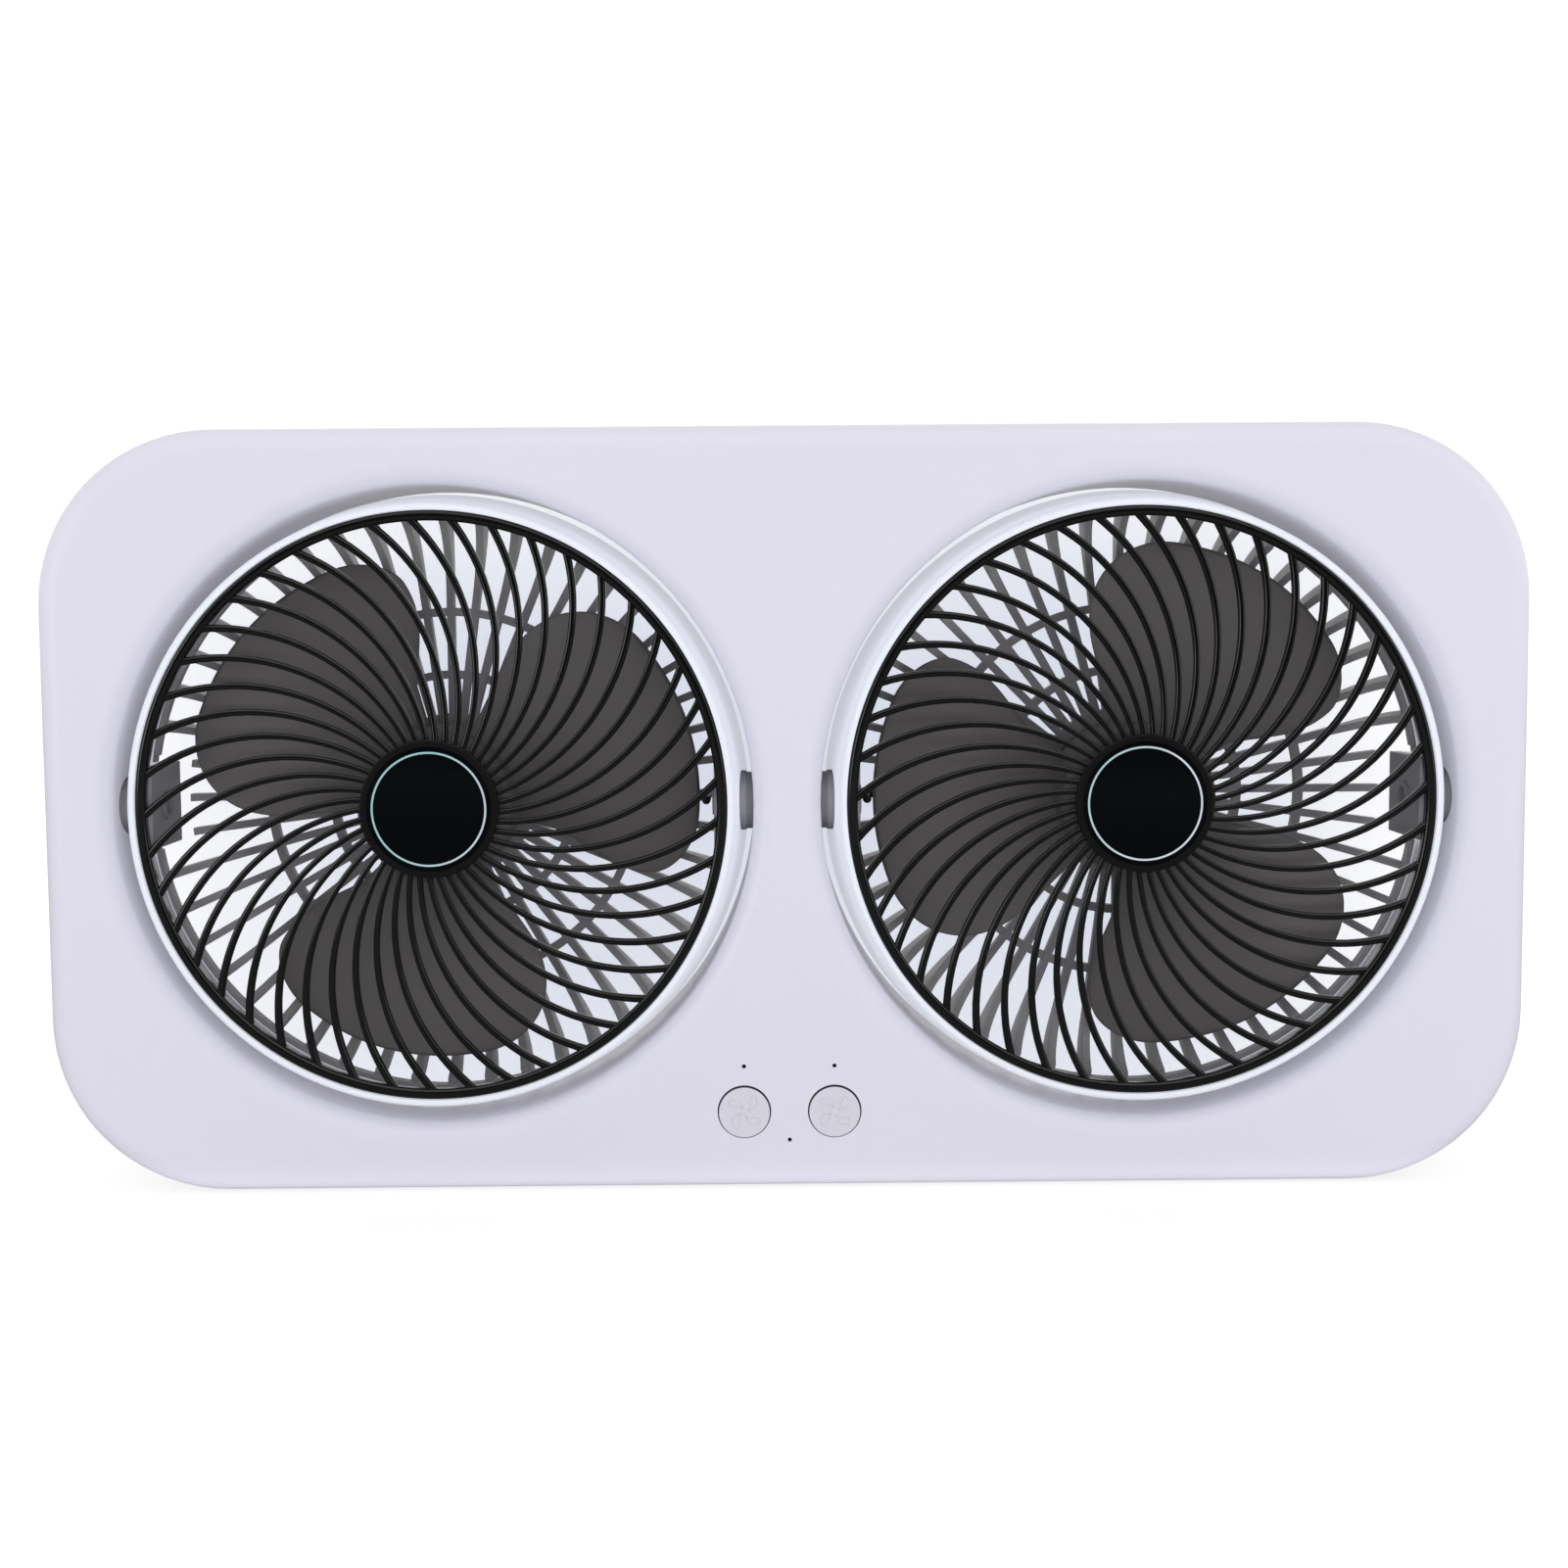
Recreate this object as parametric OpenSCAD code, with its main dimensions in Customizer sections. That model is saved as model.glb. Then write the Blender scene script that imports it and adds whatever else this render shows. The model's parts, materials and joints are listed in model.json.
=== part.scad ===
// Twin-head car fan: a rounded panel with two round fan heads that tilt in it.
// Origin: middle of the flat bottom edge that the panel rests on.
// +X right as seen from the front, +Z up, the front faces -Y.

/* [Panel] */
// Width of the panel
panel_w = 340; // [330:1:352]
// Height of the panel
panel_h = 175; // [172:1:184]
// Depth of the panel, front to back
panel_d = 40; // [39:0.5:46]
// Radius of the panel's corners seen from the front
corner_r = 40; // [34:1:46]
// Radius of the edge between faces and sides
edge_r = 5.5; // [4:0.5:6.5]
// Wall of the front and rear shells
shell_wall = 2.2; // [1.8:0.1:2.6]
// Depth of the front shell at the outer seam
front_shell_depth = 26; // [23:0.5:28]
// Height of the tongue that lines up the two shells
tongue_h = 2.8; // [2:0.1:4]

/* [Openings] */
// Distance between the two head centres
head_pitch = 162; // [161:0.5:164]
// Height of the head centres above the resting face
head_height = 89; // [87:0.5:90]
// Diameter of each round opening
opening_d = 146.6; // [146.2:0.1:147.4]
// Wall of the tube that lines each opening
tube_wall = 2; // [1.6:0.1:2.2]
// Radius of the rounded lip of each opening
lip_r = 4.5; // [3.5:0.25:5]

/* [Head] */
// Depth of the tilt axis behind the panel's front face
pivot_depth = 15; // [14:0.5:16]
// Outer diameter of the head's front rim
rim_d = 138; // [137:0.5:139]
// Outer diameter of the flared barrel at its back edge
barrel_d = 144; // [143:0.25:144.5]
// Depth of the barrel behind the front rim
barrel_len = 22; // [20:0.5:23]
// Wall of the barrel
barrel_wall = 2; // [1.6:0.1:2.2]

/* [Front grille] */
// Number of curved ribs
grille_ribs = 45; // [36:1:48]
// Radius of the arc that each rib follows
rib_arc_r = 49; // [46:1:56]
// Width of a rib at the hub
rib_root_w = 1.1; // [0.9:0.1:1.4]
// Width of a rib at the outer ring
rib_tip_w = 1.9; // [1.5:0.1:2.3]
// Depth of the ribs, front to back
rib_depth = 2.2; // [1.8:0.1:2.8]
// Width of the outer ring
grille_ring_w = 2; // [1.6:0.1:2.4]
// Rise of the hub in front of the outer ring
hub_rise = 3.5; // [2.5:0.25:4.5]
// Diameter of the round hub cap
cap_d = 31.4; // [30:0.2:33]
// Middle diameter of the coloured ring in the hub cap
accent_d = 25.6; // [24:0.2:27]
// Width of the coloured ring
accent_w = 0.6; // [0.5:0.1:0.9]

/* [Rear guard] */
// Number of radial ribs
guard_ribs = 48; // [40:1:52]
// Width of a radial rib
guard_rib_w = 1.8; // [1.4:0.1:2.2]
// Thickness of the guard, measured through a rib
guard_t = 3.2; // [2.6:0.1:3.4]
// Depth of the guard's back face behind the front rim
guard_depth = 38; // [37.5:0.25:38.5]
// Radius of the guard's rounded corner
guard_corner_r = 12; // [11:0.5:14]
// Diameter of the inner ring
guard_ring_1_d = 58.8; // [56:0.2:62]
// Diameter of the outer ring
guard_ring_2_d = 89.2; // [86:0.2:94]
// Width of both rings
guard_ring_w = 2; // [1.6:0.1:2.4]
// Diameter of the closed motor plate
motor_plate_d = 40; // [39:0.5:44]

/* [Rotor] */
// Tip diameter of the blades
rotor_d = 120; // [116:0.5:121]
// Outer diameter of the rotor cup
cup_d = 35.6; // [35:0.1:36.4]
// Angle that a blade covers at mid radius
blade_span = 79; // [70:1:84]
// Depth that a blade covers at the cup, front to back
blade_depth_root = 15; // [12:0.5:16]
// Depth that a blade covers at the tip, front to back
blade_depth_tip = 9; // [6:0.5:12]
// Thickness of a blade in its middle
blade_t = 1.7; // [1.3:0.1:2]

/* [Motor] */
// Diameter of the motor shaft
shaft_d = 3; // [2.5:0.1:3.5]
// Running clearance of the shaft in its bearings, on the radius
shaft_gap = 0.02; // [0.01:0.01:0.05]
// Outer diameter of a bearing
bearing_d = 8; // [7:0.1:8.4]
// Length of a bearing
bearing_len = 4; // [3:0.25:4.5]
// Gap between the stator and the magnets
air_gap = 0.4; // [0.3:0.05:0.6]
// Number of wound stator teeth
stator_teeth = 9; // [6:1:12]

/* [Pivots] */
// Diameter of the pin that the head turns on
pin_d = 6.8; // [6:0.1:7.4]
// Running clearance of the pin in its hole, on the radius
pin_gap = 0.05; // [0.03:0.01:0.09]
// Bore through the pivot for the motor lead
pivot_bore_d = 4.4; // [3.6:0.1:4.6]
// Diameter of the grey boss between panel and head
boss_d = 13.3; // [12.6:0.1:13.9]
// Gap between the boss and the parts of the head
boss_gap = 0.35; // [0.3:0.05:0.5]

/* [Buttons and lights] */
// Diameter of a button cap
button_d = 12.2; // [11:0.1:13]
// Distance between the two buttons
button_pitch = 20.8; // [18:0.2:23]
// Height of the buttons above the resting face
button_height = 18.2; // [17.4:0.2:19]
// Travel of a button
button_travel = 1; // [0.6:0.1:1.2]
// Gap between a button and its hole, on the radius
button_gap = 0.1; // [0.06:0.01:0.15]
// Diameter of an indicator hole
light_d = 1; // [0.8:0.05:1.4]
// Height of the two upper indicators
upper_light_height = 28.8; // [28:0.1:29.4]
// Height of the lower indicator
lower_light_height = 11.6; // [11:0.1:12.4]

/* [Battery and charging] */
// Diameter of a battery cell
cell_d = 18.5; // [17.6:0.1:18.6]
// Space between a battery cell's end and the lips behind the openings
cell_end_gap = 0.5; // [0.4:0.1:3]
// Space between the charging port and the lip above it
port_gap = 1.6; // [1.4:0.1:3]

/* [Fixings] */
// Shank diameter of the screws that close the panel
screw_d = 3; // [2.5:0.1:3.2]
// Head diameter of those screws
screw_head_d = 5.6; // [5:0.1:5.8]
// Height of the two bracket nuts above and below the head centres
bracket_half_pitch = 30; // [28:0.5:34]
// Core diameter of the bracket thread
bracket_bore_d = 3.3; // [3:0.1:3.5]

/* [Hidden] */
$fn = 96;

eps = 0.01;
left = -1;
right = 1;
white = "#dcdae6";
panel_white = "#dedce8";
black = "#141414";
cut = 1; // how far a cutter runs past the face it opens

// Levels along the depth, from the back of the panel (minus) to the front (plus)
front_z = panel_d / 2;
seam_z = front_z - front_shell_depth;
pivot_z = front_z - pivot_depth;
inner_front_z = front_z - shell_wall;
inner_back_z = -front_z + shell_wall;
opening_r = opening_d / 2;
tube_r = opening_r + tube_wall;
lip_backing_r = opening_r + lip_r + shell_wall;
function lip_half_width(dy) = sqrt(max(0, pow(lip_backing_r, 2) - dy * dy));

// Fixings of the two shells
corner_screw_inset = 22;
middle_screw_x = 44;
middle_screw_inset = 11;
screw_places = concat(
    [for (sx = [-1, 1], sy = [-1, 1])
        [sx * (panel_w / 2 - corner_screw_inset), panel_h / 2 + sy * (panel_h / 2 - corner_screw_inset)]],
    [for (sx = [-1, 1], y = [middle_screw_inset, panel_h - middle_screw_inset]) [sx * middle_screw_x, y]]);
screw_boss_r = screw_d / 2 + 2.1;
screw_pillar_r = screw_head_d / 2 + 1.6;
screw_pillar_z = -front_z + 8;
screw_seat_z = -front_z + 4;
screw_head_t = 2;
screw_len = 12;

// Board behind the front face, with its switches and lights
board_w = 56;
board_low = button_height - 12;
board_high = button_height + 13;
board_t = 1.6;
board_front_z = inner_front_z - 8.2;
board_post_r = 2.6;
board_posts = [for (sx = [-1, 1], y = [board_low + 4, board_high - 3]) [sx * 21.5, y]];
board_screw_r = 1;
switch_w = 6;
switch_t = 3.5;
plunger_r = 1.7;
plunger_gap = 0.1;
plunger_top_z = board_front_z + switch_t + 1.3;
flange_t = 1.1;
button_flange_r = button_d / 2 + 1.1;
led_t = 0.8;
light_places = [
    [-button_pitch / 2, upper_light_height],
    [button_pitch / 2, upper_light_height],
    [0, lower_light_height]];

// Battery cells lie along the width, in cradles on the rear cover
cell_gap = 0.1;
cradle_t = 1.1;
cradle_side = cell_d / 2 + cradle_t;
cell_edge = shell_wall + cradle_side + 0.2;
cell_z = inner_back_z + cradle_t + cell_gap + cell_d / 2;
cradle_end_t = 1.5;
cell_reach = min(head_height, panel_h - head_height) - cell_edge - cell_d / 2;
cell_len = 2 * (head_pitch / 2 - lip_half_width(cell_reach) - cell_end_gap);

// Charging port at the back, on its own small board
port_w = 9;
port_h = 3.3;
port_len = 7.3;
port_shell_t = 0.35;
charge_board_w = 15;
charge_board_t = 1.2;
charge_board_y = shell_wall + 3.1;
charge_board_len = 20;
port_y = charge_board_y + charge_board_t + port_h / 2;
port_top = charge_board_y + charge_board_t + port_h;
port_x = (head_pitch + port_w) / 2 + lip_half_width(head_height - port_top - port_gap);

// Bracket nuts in the post between the heads
nut_r = bracket_bore_d / 2 + 1.15;
nut_len = 7;

// Pivots: distances from a head's centre, outwards along the tilt axis
plate_inner_x = 64.2;
plate_t = 2;
plate_outer_x = plate_inner_x + plate_t;
plate_outer_pad_x = barrel_d / 2 - barrel_wall - 1.4;
plate_h = 19;
plate_half_depth = 11.7;
plate_room = 0.3;
pin_r = pin_d / 2;
pocket_r = boss_d / 2 + boss_gap + 0.3;
pin_end_x = plate_inner_x - 0.6;
flange_r = boss_d / 2 + 1.3;
pivot_flange_t = 2;
seat_gap = 0.05;
lead_r = 1;

// Levels in a head, from its tilt axis, plus towards the front
rim_z = pivot_depth;
barrel_z = rim_z - barrel_len;
guard_back_z = rim_z - guard_depth;
rim_r = rim_d / 2;
barrel_r = barrel_d / 2;
grille_r = rim_r - 1.6;
grille_gap = 0.1;
grille_seat_z = rim_z - 2.1;
grille_inner_r = grille_r - grille_ring_w;
cap_r = cap_d / 2;
cap_t = 1.4;
cap_front_z = rim_z + hub_rise;
hub_plate_r = cap_r - 0.6;
hub_back_z = cap_front_z - cap_t - 2;

guard_outer_r = barrel_r - 0.4;
guard_corner_x = guard_outer_r - guard_corner_r;
guard_corner_z = guard_back_z + guard_corner_r;
guard_face_z = guard_back_z + guard_t;
spigot_gap = 0.1;
spigot_h = 2;
spigot_from = asin((plate_h / 2 + 1) / plate_inner_x);
guard_rim_w = 2;
rib_drop = 0.2;

// Motor, carried by the plate in the middle of the rear guard
cup_r = cup_d / 2;
cup_wall = 1.8;
cup_front_z = hub_back_z - 3.4;
cup_back_z = guard_face_z + 8;
can_r = cup_r - cup_wall;
can_t = 0.9;
magnet_t = 1;
stator_r = can_r - can_t - magnet_t - air_gap;
stator_back_z = cup_back_z + 2.5;
stator_front_z = stator_back_z + 10;
coil_over = 1.6;
holder_r = bearing_d / 2 + 0.9;
holder_front_z = stator_front_z + 3;
bearing_levels = [guard_face_z + 1.7, holder_front_z - bearing_len];
shaft_r = shaft_d / 2;
shaft_front_z = cup_front_z - 1.4;
shaft_back_z = guard_face_z + 0.6;
motor_board_t = 1.2;
motor_board_r = motor_plate_d / 2 - 3;

// Blades
rotor_r = rotor_d / 2;
blade_count = 3;
blade_mid_z = -3;
blade_steps = 11;
chord_steps = 10;
blade_edge_t = 0.9;
front_round_from = 35;
front_round_angle = 28;
rear_round_from = 50;
rear_round_angle = 16;
rear_bulge_angle = 6;
rear_bulge_from = 28;
left_blade_turn = -96;
right_blade_turn = -54.5;
left_rib_turn = 3.25;
right_rib_turn = 1.05;

// Placing

module stand() rotate([90, 0, 0]) children();

module at_opening(side) translate([side * head_pitch / 2, head_height, 0]) children();

module at_head(side)
    stand() at_opening(side) translate([0, 0, pivot_z]) children();

// A pivot is drawn along +X from the head's centre; way says to which side of the head it lies
module at_pivot(side, way)
    at_head(side) rotate([0, 0, way > 0 ? 0 : 180]) rotate([0, 90, 0]) children();

// Shells

module rounded_rect(w, h, r) {
    square([w - 2 * r, h], center = true);
    square([w, h - 2 * r], center = true);
    for (sx = [-1, 1], sy = [-1, 1])
        translate([sx * (w / 2 - r), sy * (h / 2 - r)]) circle(r = r);
}

module half_round_rect(w, h, r)
    intersection() {
        rounded_rect(w, h, r);
        translate([0, -h]) square([w, 2 * h]);
    }

module rounded_slab(w, h, d, c, e)
    translate([0, panel_h / 2, 0]) {
        rotate([90, 0, 90]) translate([0, 0, -(w / 2 - c)])
            linear_extrude(w - 2 * c) rounded_rect(h, d, e);
        rotate([90, 0, 0]) translate([0, 0, -(h / 2 - c)])
            linear_extrude(h - 2 * c) rounded_rect(w, d, e);
        for (sx = [-1, 1], sy = [-1, 1])
            translate([sx * (w / 2 - c), sy * (h / 2 - c), 0])
                rotate_extrude() half_round_rect(2 * c, d, e);
    }

module panel_body() rounded_slab(panel_w, panel_h, panel_d, corner_r, edge_r);

module panel_cavity()
    rounded_slab(panel_w - 2 * shell_wall, panel_h - 2 * shell_wall, panel_d - 2 * shell_wall,
        corner_r - shell_wall, edge_r - shell_wall);

module wall_prism(inset, z, h)
    translate([0, panel_h / 2, z]) linear_extrude(h)
        rounded_rect(panel_w - 2 * inset, panel_h - 2 * inset, corner_r - inset);

module opening_cutter()
    rotate_extrude() {
        translate([0, -front_z - cut]) square([opening_r, panel_d + 2 * cut]);
        for (end = [0, 1]) mirror([0, end])
            difference() {
                translate([0, front_z - lip_r]) square([opening_r + lip_r, lip_r + cut]);
                translate([opening_r + lip_r, front_z - lip_r]) circle(r = lip_r);
            }
    }

module opening_tube(z, h) translate([0, 0, z]) cylinder(r = tube_r, h = h);

module lip_backing(z) translate([0, 0, z])
    cylinder(r = lip_backing_r, h = lip_r + shell_wall - 0.5);

module pivot_holes(side)
    at_opening(side) translate([-panel_w, 0, pivot_z]) rotate([0, 90, 0])
        cylinder(r = boss_d / 2 + seat_gap, h = 2 * panel_w);

module opening_pivot_cut(side)
    intersection() {
        pivot_holes(side);
        at_opening(side) cylinder(r = tube_r + cut, h = 2 * panel_d, center = true);
    }

module front_panel() color(panel_white) stand()
    difference() {
        union() {
            intersection() {
                difference() {
                    panel_body();
                    panel_cavity();
                }
                translate([-panel_w, -panel_h, seam_z]) cube([2 * panel_w, 3 * panel_h, panel_d]);
            }
            for (side = [left, right]) at_opening(side) {
                opening_tube(pivot_z, pivot_depth - 0.5);
                lip_backing(front_z - lip_r - shell_wall);
            }
            for (p = screw_places) translate([p[0], p[1], screw_pillar_z])
                cylinder(r = screw_boss_r, h = inner_front_z - screw_pillar_z + 0.5);
            for (p = board_posts) translate([p[0], p[1], board_front_z])
                cylinder(r = board_post_r, h = inner_front_z - board_front_z + 0.5);
        }
        for (side = [left, right]) {
            at_opening(side) opening_cutter();
            opening_pivot_cut(side);
            translate([side * button_pitch / 2, button_height, inner_front_z - cut])
                cylinder(r = button_d / 2 + button_gap, h = shell_wall + 2 * cut);
        }
        for (p = light_places) translate([p[0], p[1], inner_front_z - cut])
            cylinder(d = light_d, h = shell_wall + 2 * cut);
        for (p = screw_places) translate([p[0], p[1], screw_pillar_z - cut])
            cylinder(d = screw_d, h = screw_len - (screw_pillar_z - screw_seat_z) + 2 * cut);
        for (p = board_posts) translate([p[0], p[1], board_front_z - cut])
            cylinder(r = board_screw_r, h = 6 + cut);
        difference() {
            wall_prism(shell_wall / 2, seam_z - cut, tongue_h + 0.2 + cut);
            wall_prism(shell_wall + 0.5, seam_z - 2 * cut, tongue_h + 4 * cut);
        }
    }

module port_outline(grow)
    rounded_rect(port_w + 2 * grow, port_h + 2 * grow, port_h / 2 + grow - eps);

module rear_cover() color(white) stand()
    difference() {
        union() {
            intersection() {
                difference() {
                    panel_body();
                    panel_cavity();
                }
                translate([-panel_w, -panel_h, seam_z - 2 * panel_d])
                    cube([2 * panel_w, 3 * panel_h, 2 * panel_d]);
            }
            difference() {
                wall_prism(shell_wall / 2 + 0.1, seam_z - 2, tongue_h + 2);
                wall_prism(shell_wall, seam_z - 3, tongue_h + 4);
            }
            for (side = [left, right]) at_opening(side) {
                opening_tube(-front_z + 0.5, front_z + pivot_z - 0.5);
                lip_backing(-front_z + 0.5);
            }
            for (p = screw_places) translate([p[0], p[1], -front_z + 0.5])
                cylinder(r = screw_pillar_r, h = screw_pillar_z + front_z - 0.5);
            for (way = [-1, 1])
                translate([0, head_height + way * bracket_half_pitch, -front_z + 0.5])
                    cylinder(r = nut_r + 2, h = nut_len);
            for (way = [-1, 1])
                translate([port_x + way * (charge_board_w / 2 - 1) - 0.75, shell_wall - 0.5, inner_back_z - 0.5])
                    cube([1.5, charge_board_y - shell_wall + 0.5, 12]);
        }
        for (side = [left, right]) {
            at_opening(side) opening_cutter();
            opening_pivot_cut(side);
        }
        for (p = screw_places) translate([p[0], p[1], 0]) {
            translate([0, 0, -front_z - cut]) cylinder(d = screw_d + 0.3, h = panel_d / 2);
            translate([0, 0, -front_z - cut])
                cylinder(d = screw_head_d + 0.6, h = screw_seat_z + front_z + cut);
        }
        for (way = [-1, 1])
            translate([0, head_height + way * bracket_half_pitch, -front_z - cut])
                cylinder(r = nut_r, h = nut_len + cut);
        translate([port_x, port_y, -front_z - cut]) linear_extrude(shell_wall + 2 * cut)
            port_outline(0.2);
    }

module cover_screws() color("#b8b8bc") stand()
    for (p = screw_places) translate([p[0], p[1], screw_seat_z]) {
        difference() {
            translate([0, 0, -screw_head_t]) cylinder(d = screw_head_d, h = screw_head_t);
            for (turn = [0, 90]) rotate([0, 0, turn])
                translate([-1.6, -0.35, -screw_head_t - cut]) cube([3.2, 0.7, 1 + cut]);
        }
        cylinder(d = screw_d, h = screw_len);
    }

module bracket_nuts() color("#c9a24b") stand()
    for (way = [-1, 1])
        translate([0, head_height + way * bracket_half_pitch, -front_z])
            difference() {
                cylinder(r = nut_r, h = nut_len);
                translate([0, 0, -cut]) cylinder(d = bracket_bore_d, h = nut_len + 2 * cut);
            }

// Control board and buttons

module control_board() color("#2f6b46") stand()
    difference() {
        translate([-board_w / 2, board_low, board_front_z - board_t])
            cube([board_w, board_high - board_low, board_t]);
        for (p = board_posts) translate([p[0], p[1], board_front_z - board_t - cut])
            cylinder(r = board_screw_r + 0.1, h = board_t + 2 * cut);
    }

module board_screws() color("#b8b8bc") stand()
    for (p = board_posts) translate([p[0], p[1], board_front_z - board_t]) {
        translate([0, 0, -1.2]) cylinder(r = 1.9, h = 1.2);
        cylinder(r = board_screw_r, h = board_t + 5);
    }

module tact_switches() color("#3a3a3e") stand()
    for (side = [left, right])
        translate([side * button_pitch / 2, button_height, board_front_z])
            difference() {
                translate([-switch_w / 2, -switch_w / 2, 0]) cube([switch_w, switch_w, switch_t]);
                translate([0, 0, 0.6]) cylinder(r = plunger_r + plunger_gap, h = switch_t);
            }

module switch_plunger(side) color("#1f1f22") stand()
    translate([side * button_pitch / 2, button_height, 0])
        translate([0, 0, board_front_z + 0.8 + button_travel])
            cylinder(r = plunger_r, h = plunger_top_z - board_front_z - 0.8 - button_travel);

module button_cap(side) color("#d4d4da") stand()
    translate([side * button_pitch / 2, button_height, 0]) {
        translate([0, 0, plunger_top_z])
            cylinder(r = plunger_r + 0.4, h = inner_front_z - plunger_top_z - flange_t + 0.5);
        translate([0, 0, inner_front_z - seat_gap - flange_t]) cylinder(r = button_flange_r, h = flange_t);
        translate([0, 0, inner_front_z - flange_t]) rotate_extrude() {
            square([button_d / 2, shell_wall + flange_t - 0.4]);
            square([button_d / 2 - 0.4, shell_wall + flange_t]);
            translate([button_d / 2 - 0.4, shell_wall + flange_t - 0.4]) circle(r = 0.4);
        }
    }

module status_leds() color("#f2efe2") stand()
    for (p = light_places) translate([p[0] - 0.8, p[1] - 0.5, board_front_z])
        cube([1.6, 1, led_t]);

module light_pipes() color("#1b1b1f") stand()
    for (p = light_places) translate([p[0], p[1], 0]) {
        translate([0, 0, board_front_z + led_t])
            cylinder(d = light_d - 0.1, h = front_z - 0.3 - board_front_z - led_t);
        translate([0, 0, inner_front_z - 1]) cylinder(r = light_d / 2 + 0.7, h = 1);
    }

// Battery and charging

module battery_cell(y) color("#4a78a8") stand()
    translate([-cell_len / 2, y, cell_z]) rotate([0, 90, 0]) {
        cylinder(d = cell_d, h = cell_len - 1);
        translate([0, 0, cell_len - 1 - eps]) cylinder(r = 2.8, h = 1 + eps);
    }

module battery_cradle(y) color("#2a2a2e") stand()
    difference() {
        intersection() {
            translate([-cell_len / 2 - cradle_end_t, y - cradle_side, inner_back_z])
                cube([cell_len + 2 * cradle_end_t, 2 * cradle_side, cell_z + 5 - inner_back_z]);
            rounded_slab(panel_w - 2 * shell_wall - 0.2, panel_h - 2 * shell_wall - 0.2,
                panel_d - 2 * shell_wall, corner_r - shell_wall - 0.1, edge_r - shell_wall);
        }
        translate([-cell_len / 2, y, cell_z]) rotate([0, 90, 0])
            cylinder(r = cell_d / 2 + cell_gap, h = cell_len);
        translate([-cell_len / 2, y - cradle_side - cut, cell_z])
            cube([cell_len, 2 * (cradle_side + cut), cell_d]);
        for (side = [left, right]) at_opening(side) translate([0, 0, -front_z])
            cylinder(r = lip_backing_r + 0.2, h = lip_r + shell_wall + 0.2);
    }

module charging_board() color("#2f6b46") stand()
    translate([port_x - charge_board_w / 2, charge_board_y, inner_back_z + 0.3])
        cube([charge_board_w, charge_board_t, charge_board_len]);

module charging_port() color("#c4c6cb") stand()
    translate([port_x, port_y, -front_z + 0.3]) {
        difference() {
            linear_extrude(port_len) port_outline(0);
            translate([0, 0, -cut]) linear_extrude(port_len - 1 + cut) port_outline(-port_shell_t);
        }
        translate([-port_w / 2 + 1.3, -0.35, 0.6]) cube([port_w - 2.6, 0.7, port_len - 1]);
    }

// The lead of each motor runs up the middle post and through the hollow inner pivot
module frame_lead(side) color("#26262a") stand() {
    lead_x = side * 2.2;
    lead_low = board_high - 7;
    translate([lead_x, lead_low, pivot_z])
        cylinder(r = lead_r, h = board_front_z - board_t - pivot_z);
    translate([lead_x, lead_low, pivot_z]) sphere(r = lead_r);
    translate([lead_x, lead_low, pivot_z]) rotate([-90, 0, 0])
        cylinder(r = lead_r, h = head_height - lead_low);
    translate([lead_x, head_height, pivot_z]) sphere(r = lead_r);
    translate([lead_x, head_height, pivot_z]) rotate([0, side * 90, 0])
        cylinder(r = lead_r, h = head_pitch / 2 - pin_end_x - 2.2);
}

// Pivots

module pivot(side, way) color("#77767b") at_pivot(side, way)
    difference() {
        union() {
            translate([0, 0, pin_end_x]) cylinder(r = pin_r, h = tube_r - pin_end_x);
            translate([0, 0, plate_outer_x + boss_gap])
                cylinder(d = boss_d, h = tube_r - plate_outer_x - boss_gap + eps);
            translate([0, 0, tube_r]) cylinder(r = flange_r, h = pivot_flange_t);
        }
        translate([0, 0, pin_end_x - cut])
            cylinder(d = pivot_bore_d, h = tube_r + pivot_flange_t - pin_end_x + 2 * cut);
    }

// Head shell: rim, flared barrel and the two flat plates that carry the pivot holes

module barrel_section()
    polygon([
        [rim_r - 0.5, rim_z], [rim_r, rim_z - 0.6], [barrel_r, barrel_z],
        [barrel_r - barrel_wall, barrel_z], [grille_r - 0.5, grille_seat_z - 1.5],
        [grille_r - 0.9, grille_seat_z - 1], [grille_r - 0.9, grille_seat_z],
        [grille_r + grille_gap, grille_seat_z], [grille_r + grille_gap, rim_z]]);

module head_shell(side) color(white) at_head(side)
    difference() {
        union() {
            rotate_extrude() barrel_section();
            for (turn = [0, 180]) rotate([0, 0, turn]) {
                translate([plate_inner_x, -plate_h / 2, -plate_half_depth])
                    cube([plate_outer_pad_x - plate_inner_x, plate_h, 2 * plate_half_depth]);
                intersection() {
                    translate([plate_inner_x, -plate_h / 2, barrel_z])
                        cube([barrel_r, plate_h, plate_half_depth - barrel_z]);
                    translate([0, 0, barrel_z])
                        cylinder(r1 = barrel_r - barrel_wall + 0.2, r2 = grille_r,
                            h = rim_z - barrel_z);
                }
            }
        }
        for (turn = [0, 180]) rotate([0, 0, turn]) {
            translate([plate_outer_x, 0, 0]) rotate([0, 90, 0]) cylinder(r = pocket_r, h = barrel_r);
            translate([plate_inner_x - cut, 0, 0]) rotate([0, 90, 0])
                cylinder(r = pin_r + pin_gap, h = plate_t + 2 * cut);
        }
    }

// Front grille: crescent ribs between a rounded ring and a domed hub

module rib_outline() {
    intersection() {
        difference() {
            translate([0, rib_arc_r]) circle(r = rib_arc_r + rib_root_w / 2);
            translate([-(rib_tip_w - rib_root_w), rib_arc_r]) circle(r = rib_arc_r - rib_root_w / 2);
        }
        translate([hub_plate_r - 3, -2]) square([grille_r, rib_arc_r]);
    }
}

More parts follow.
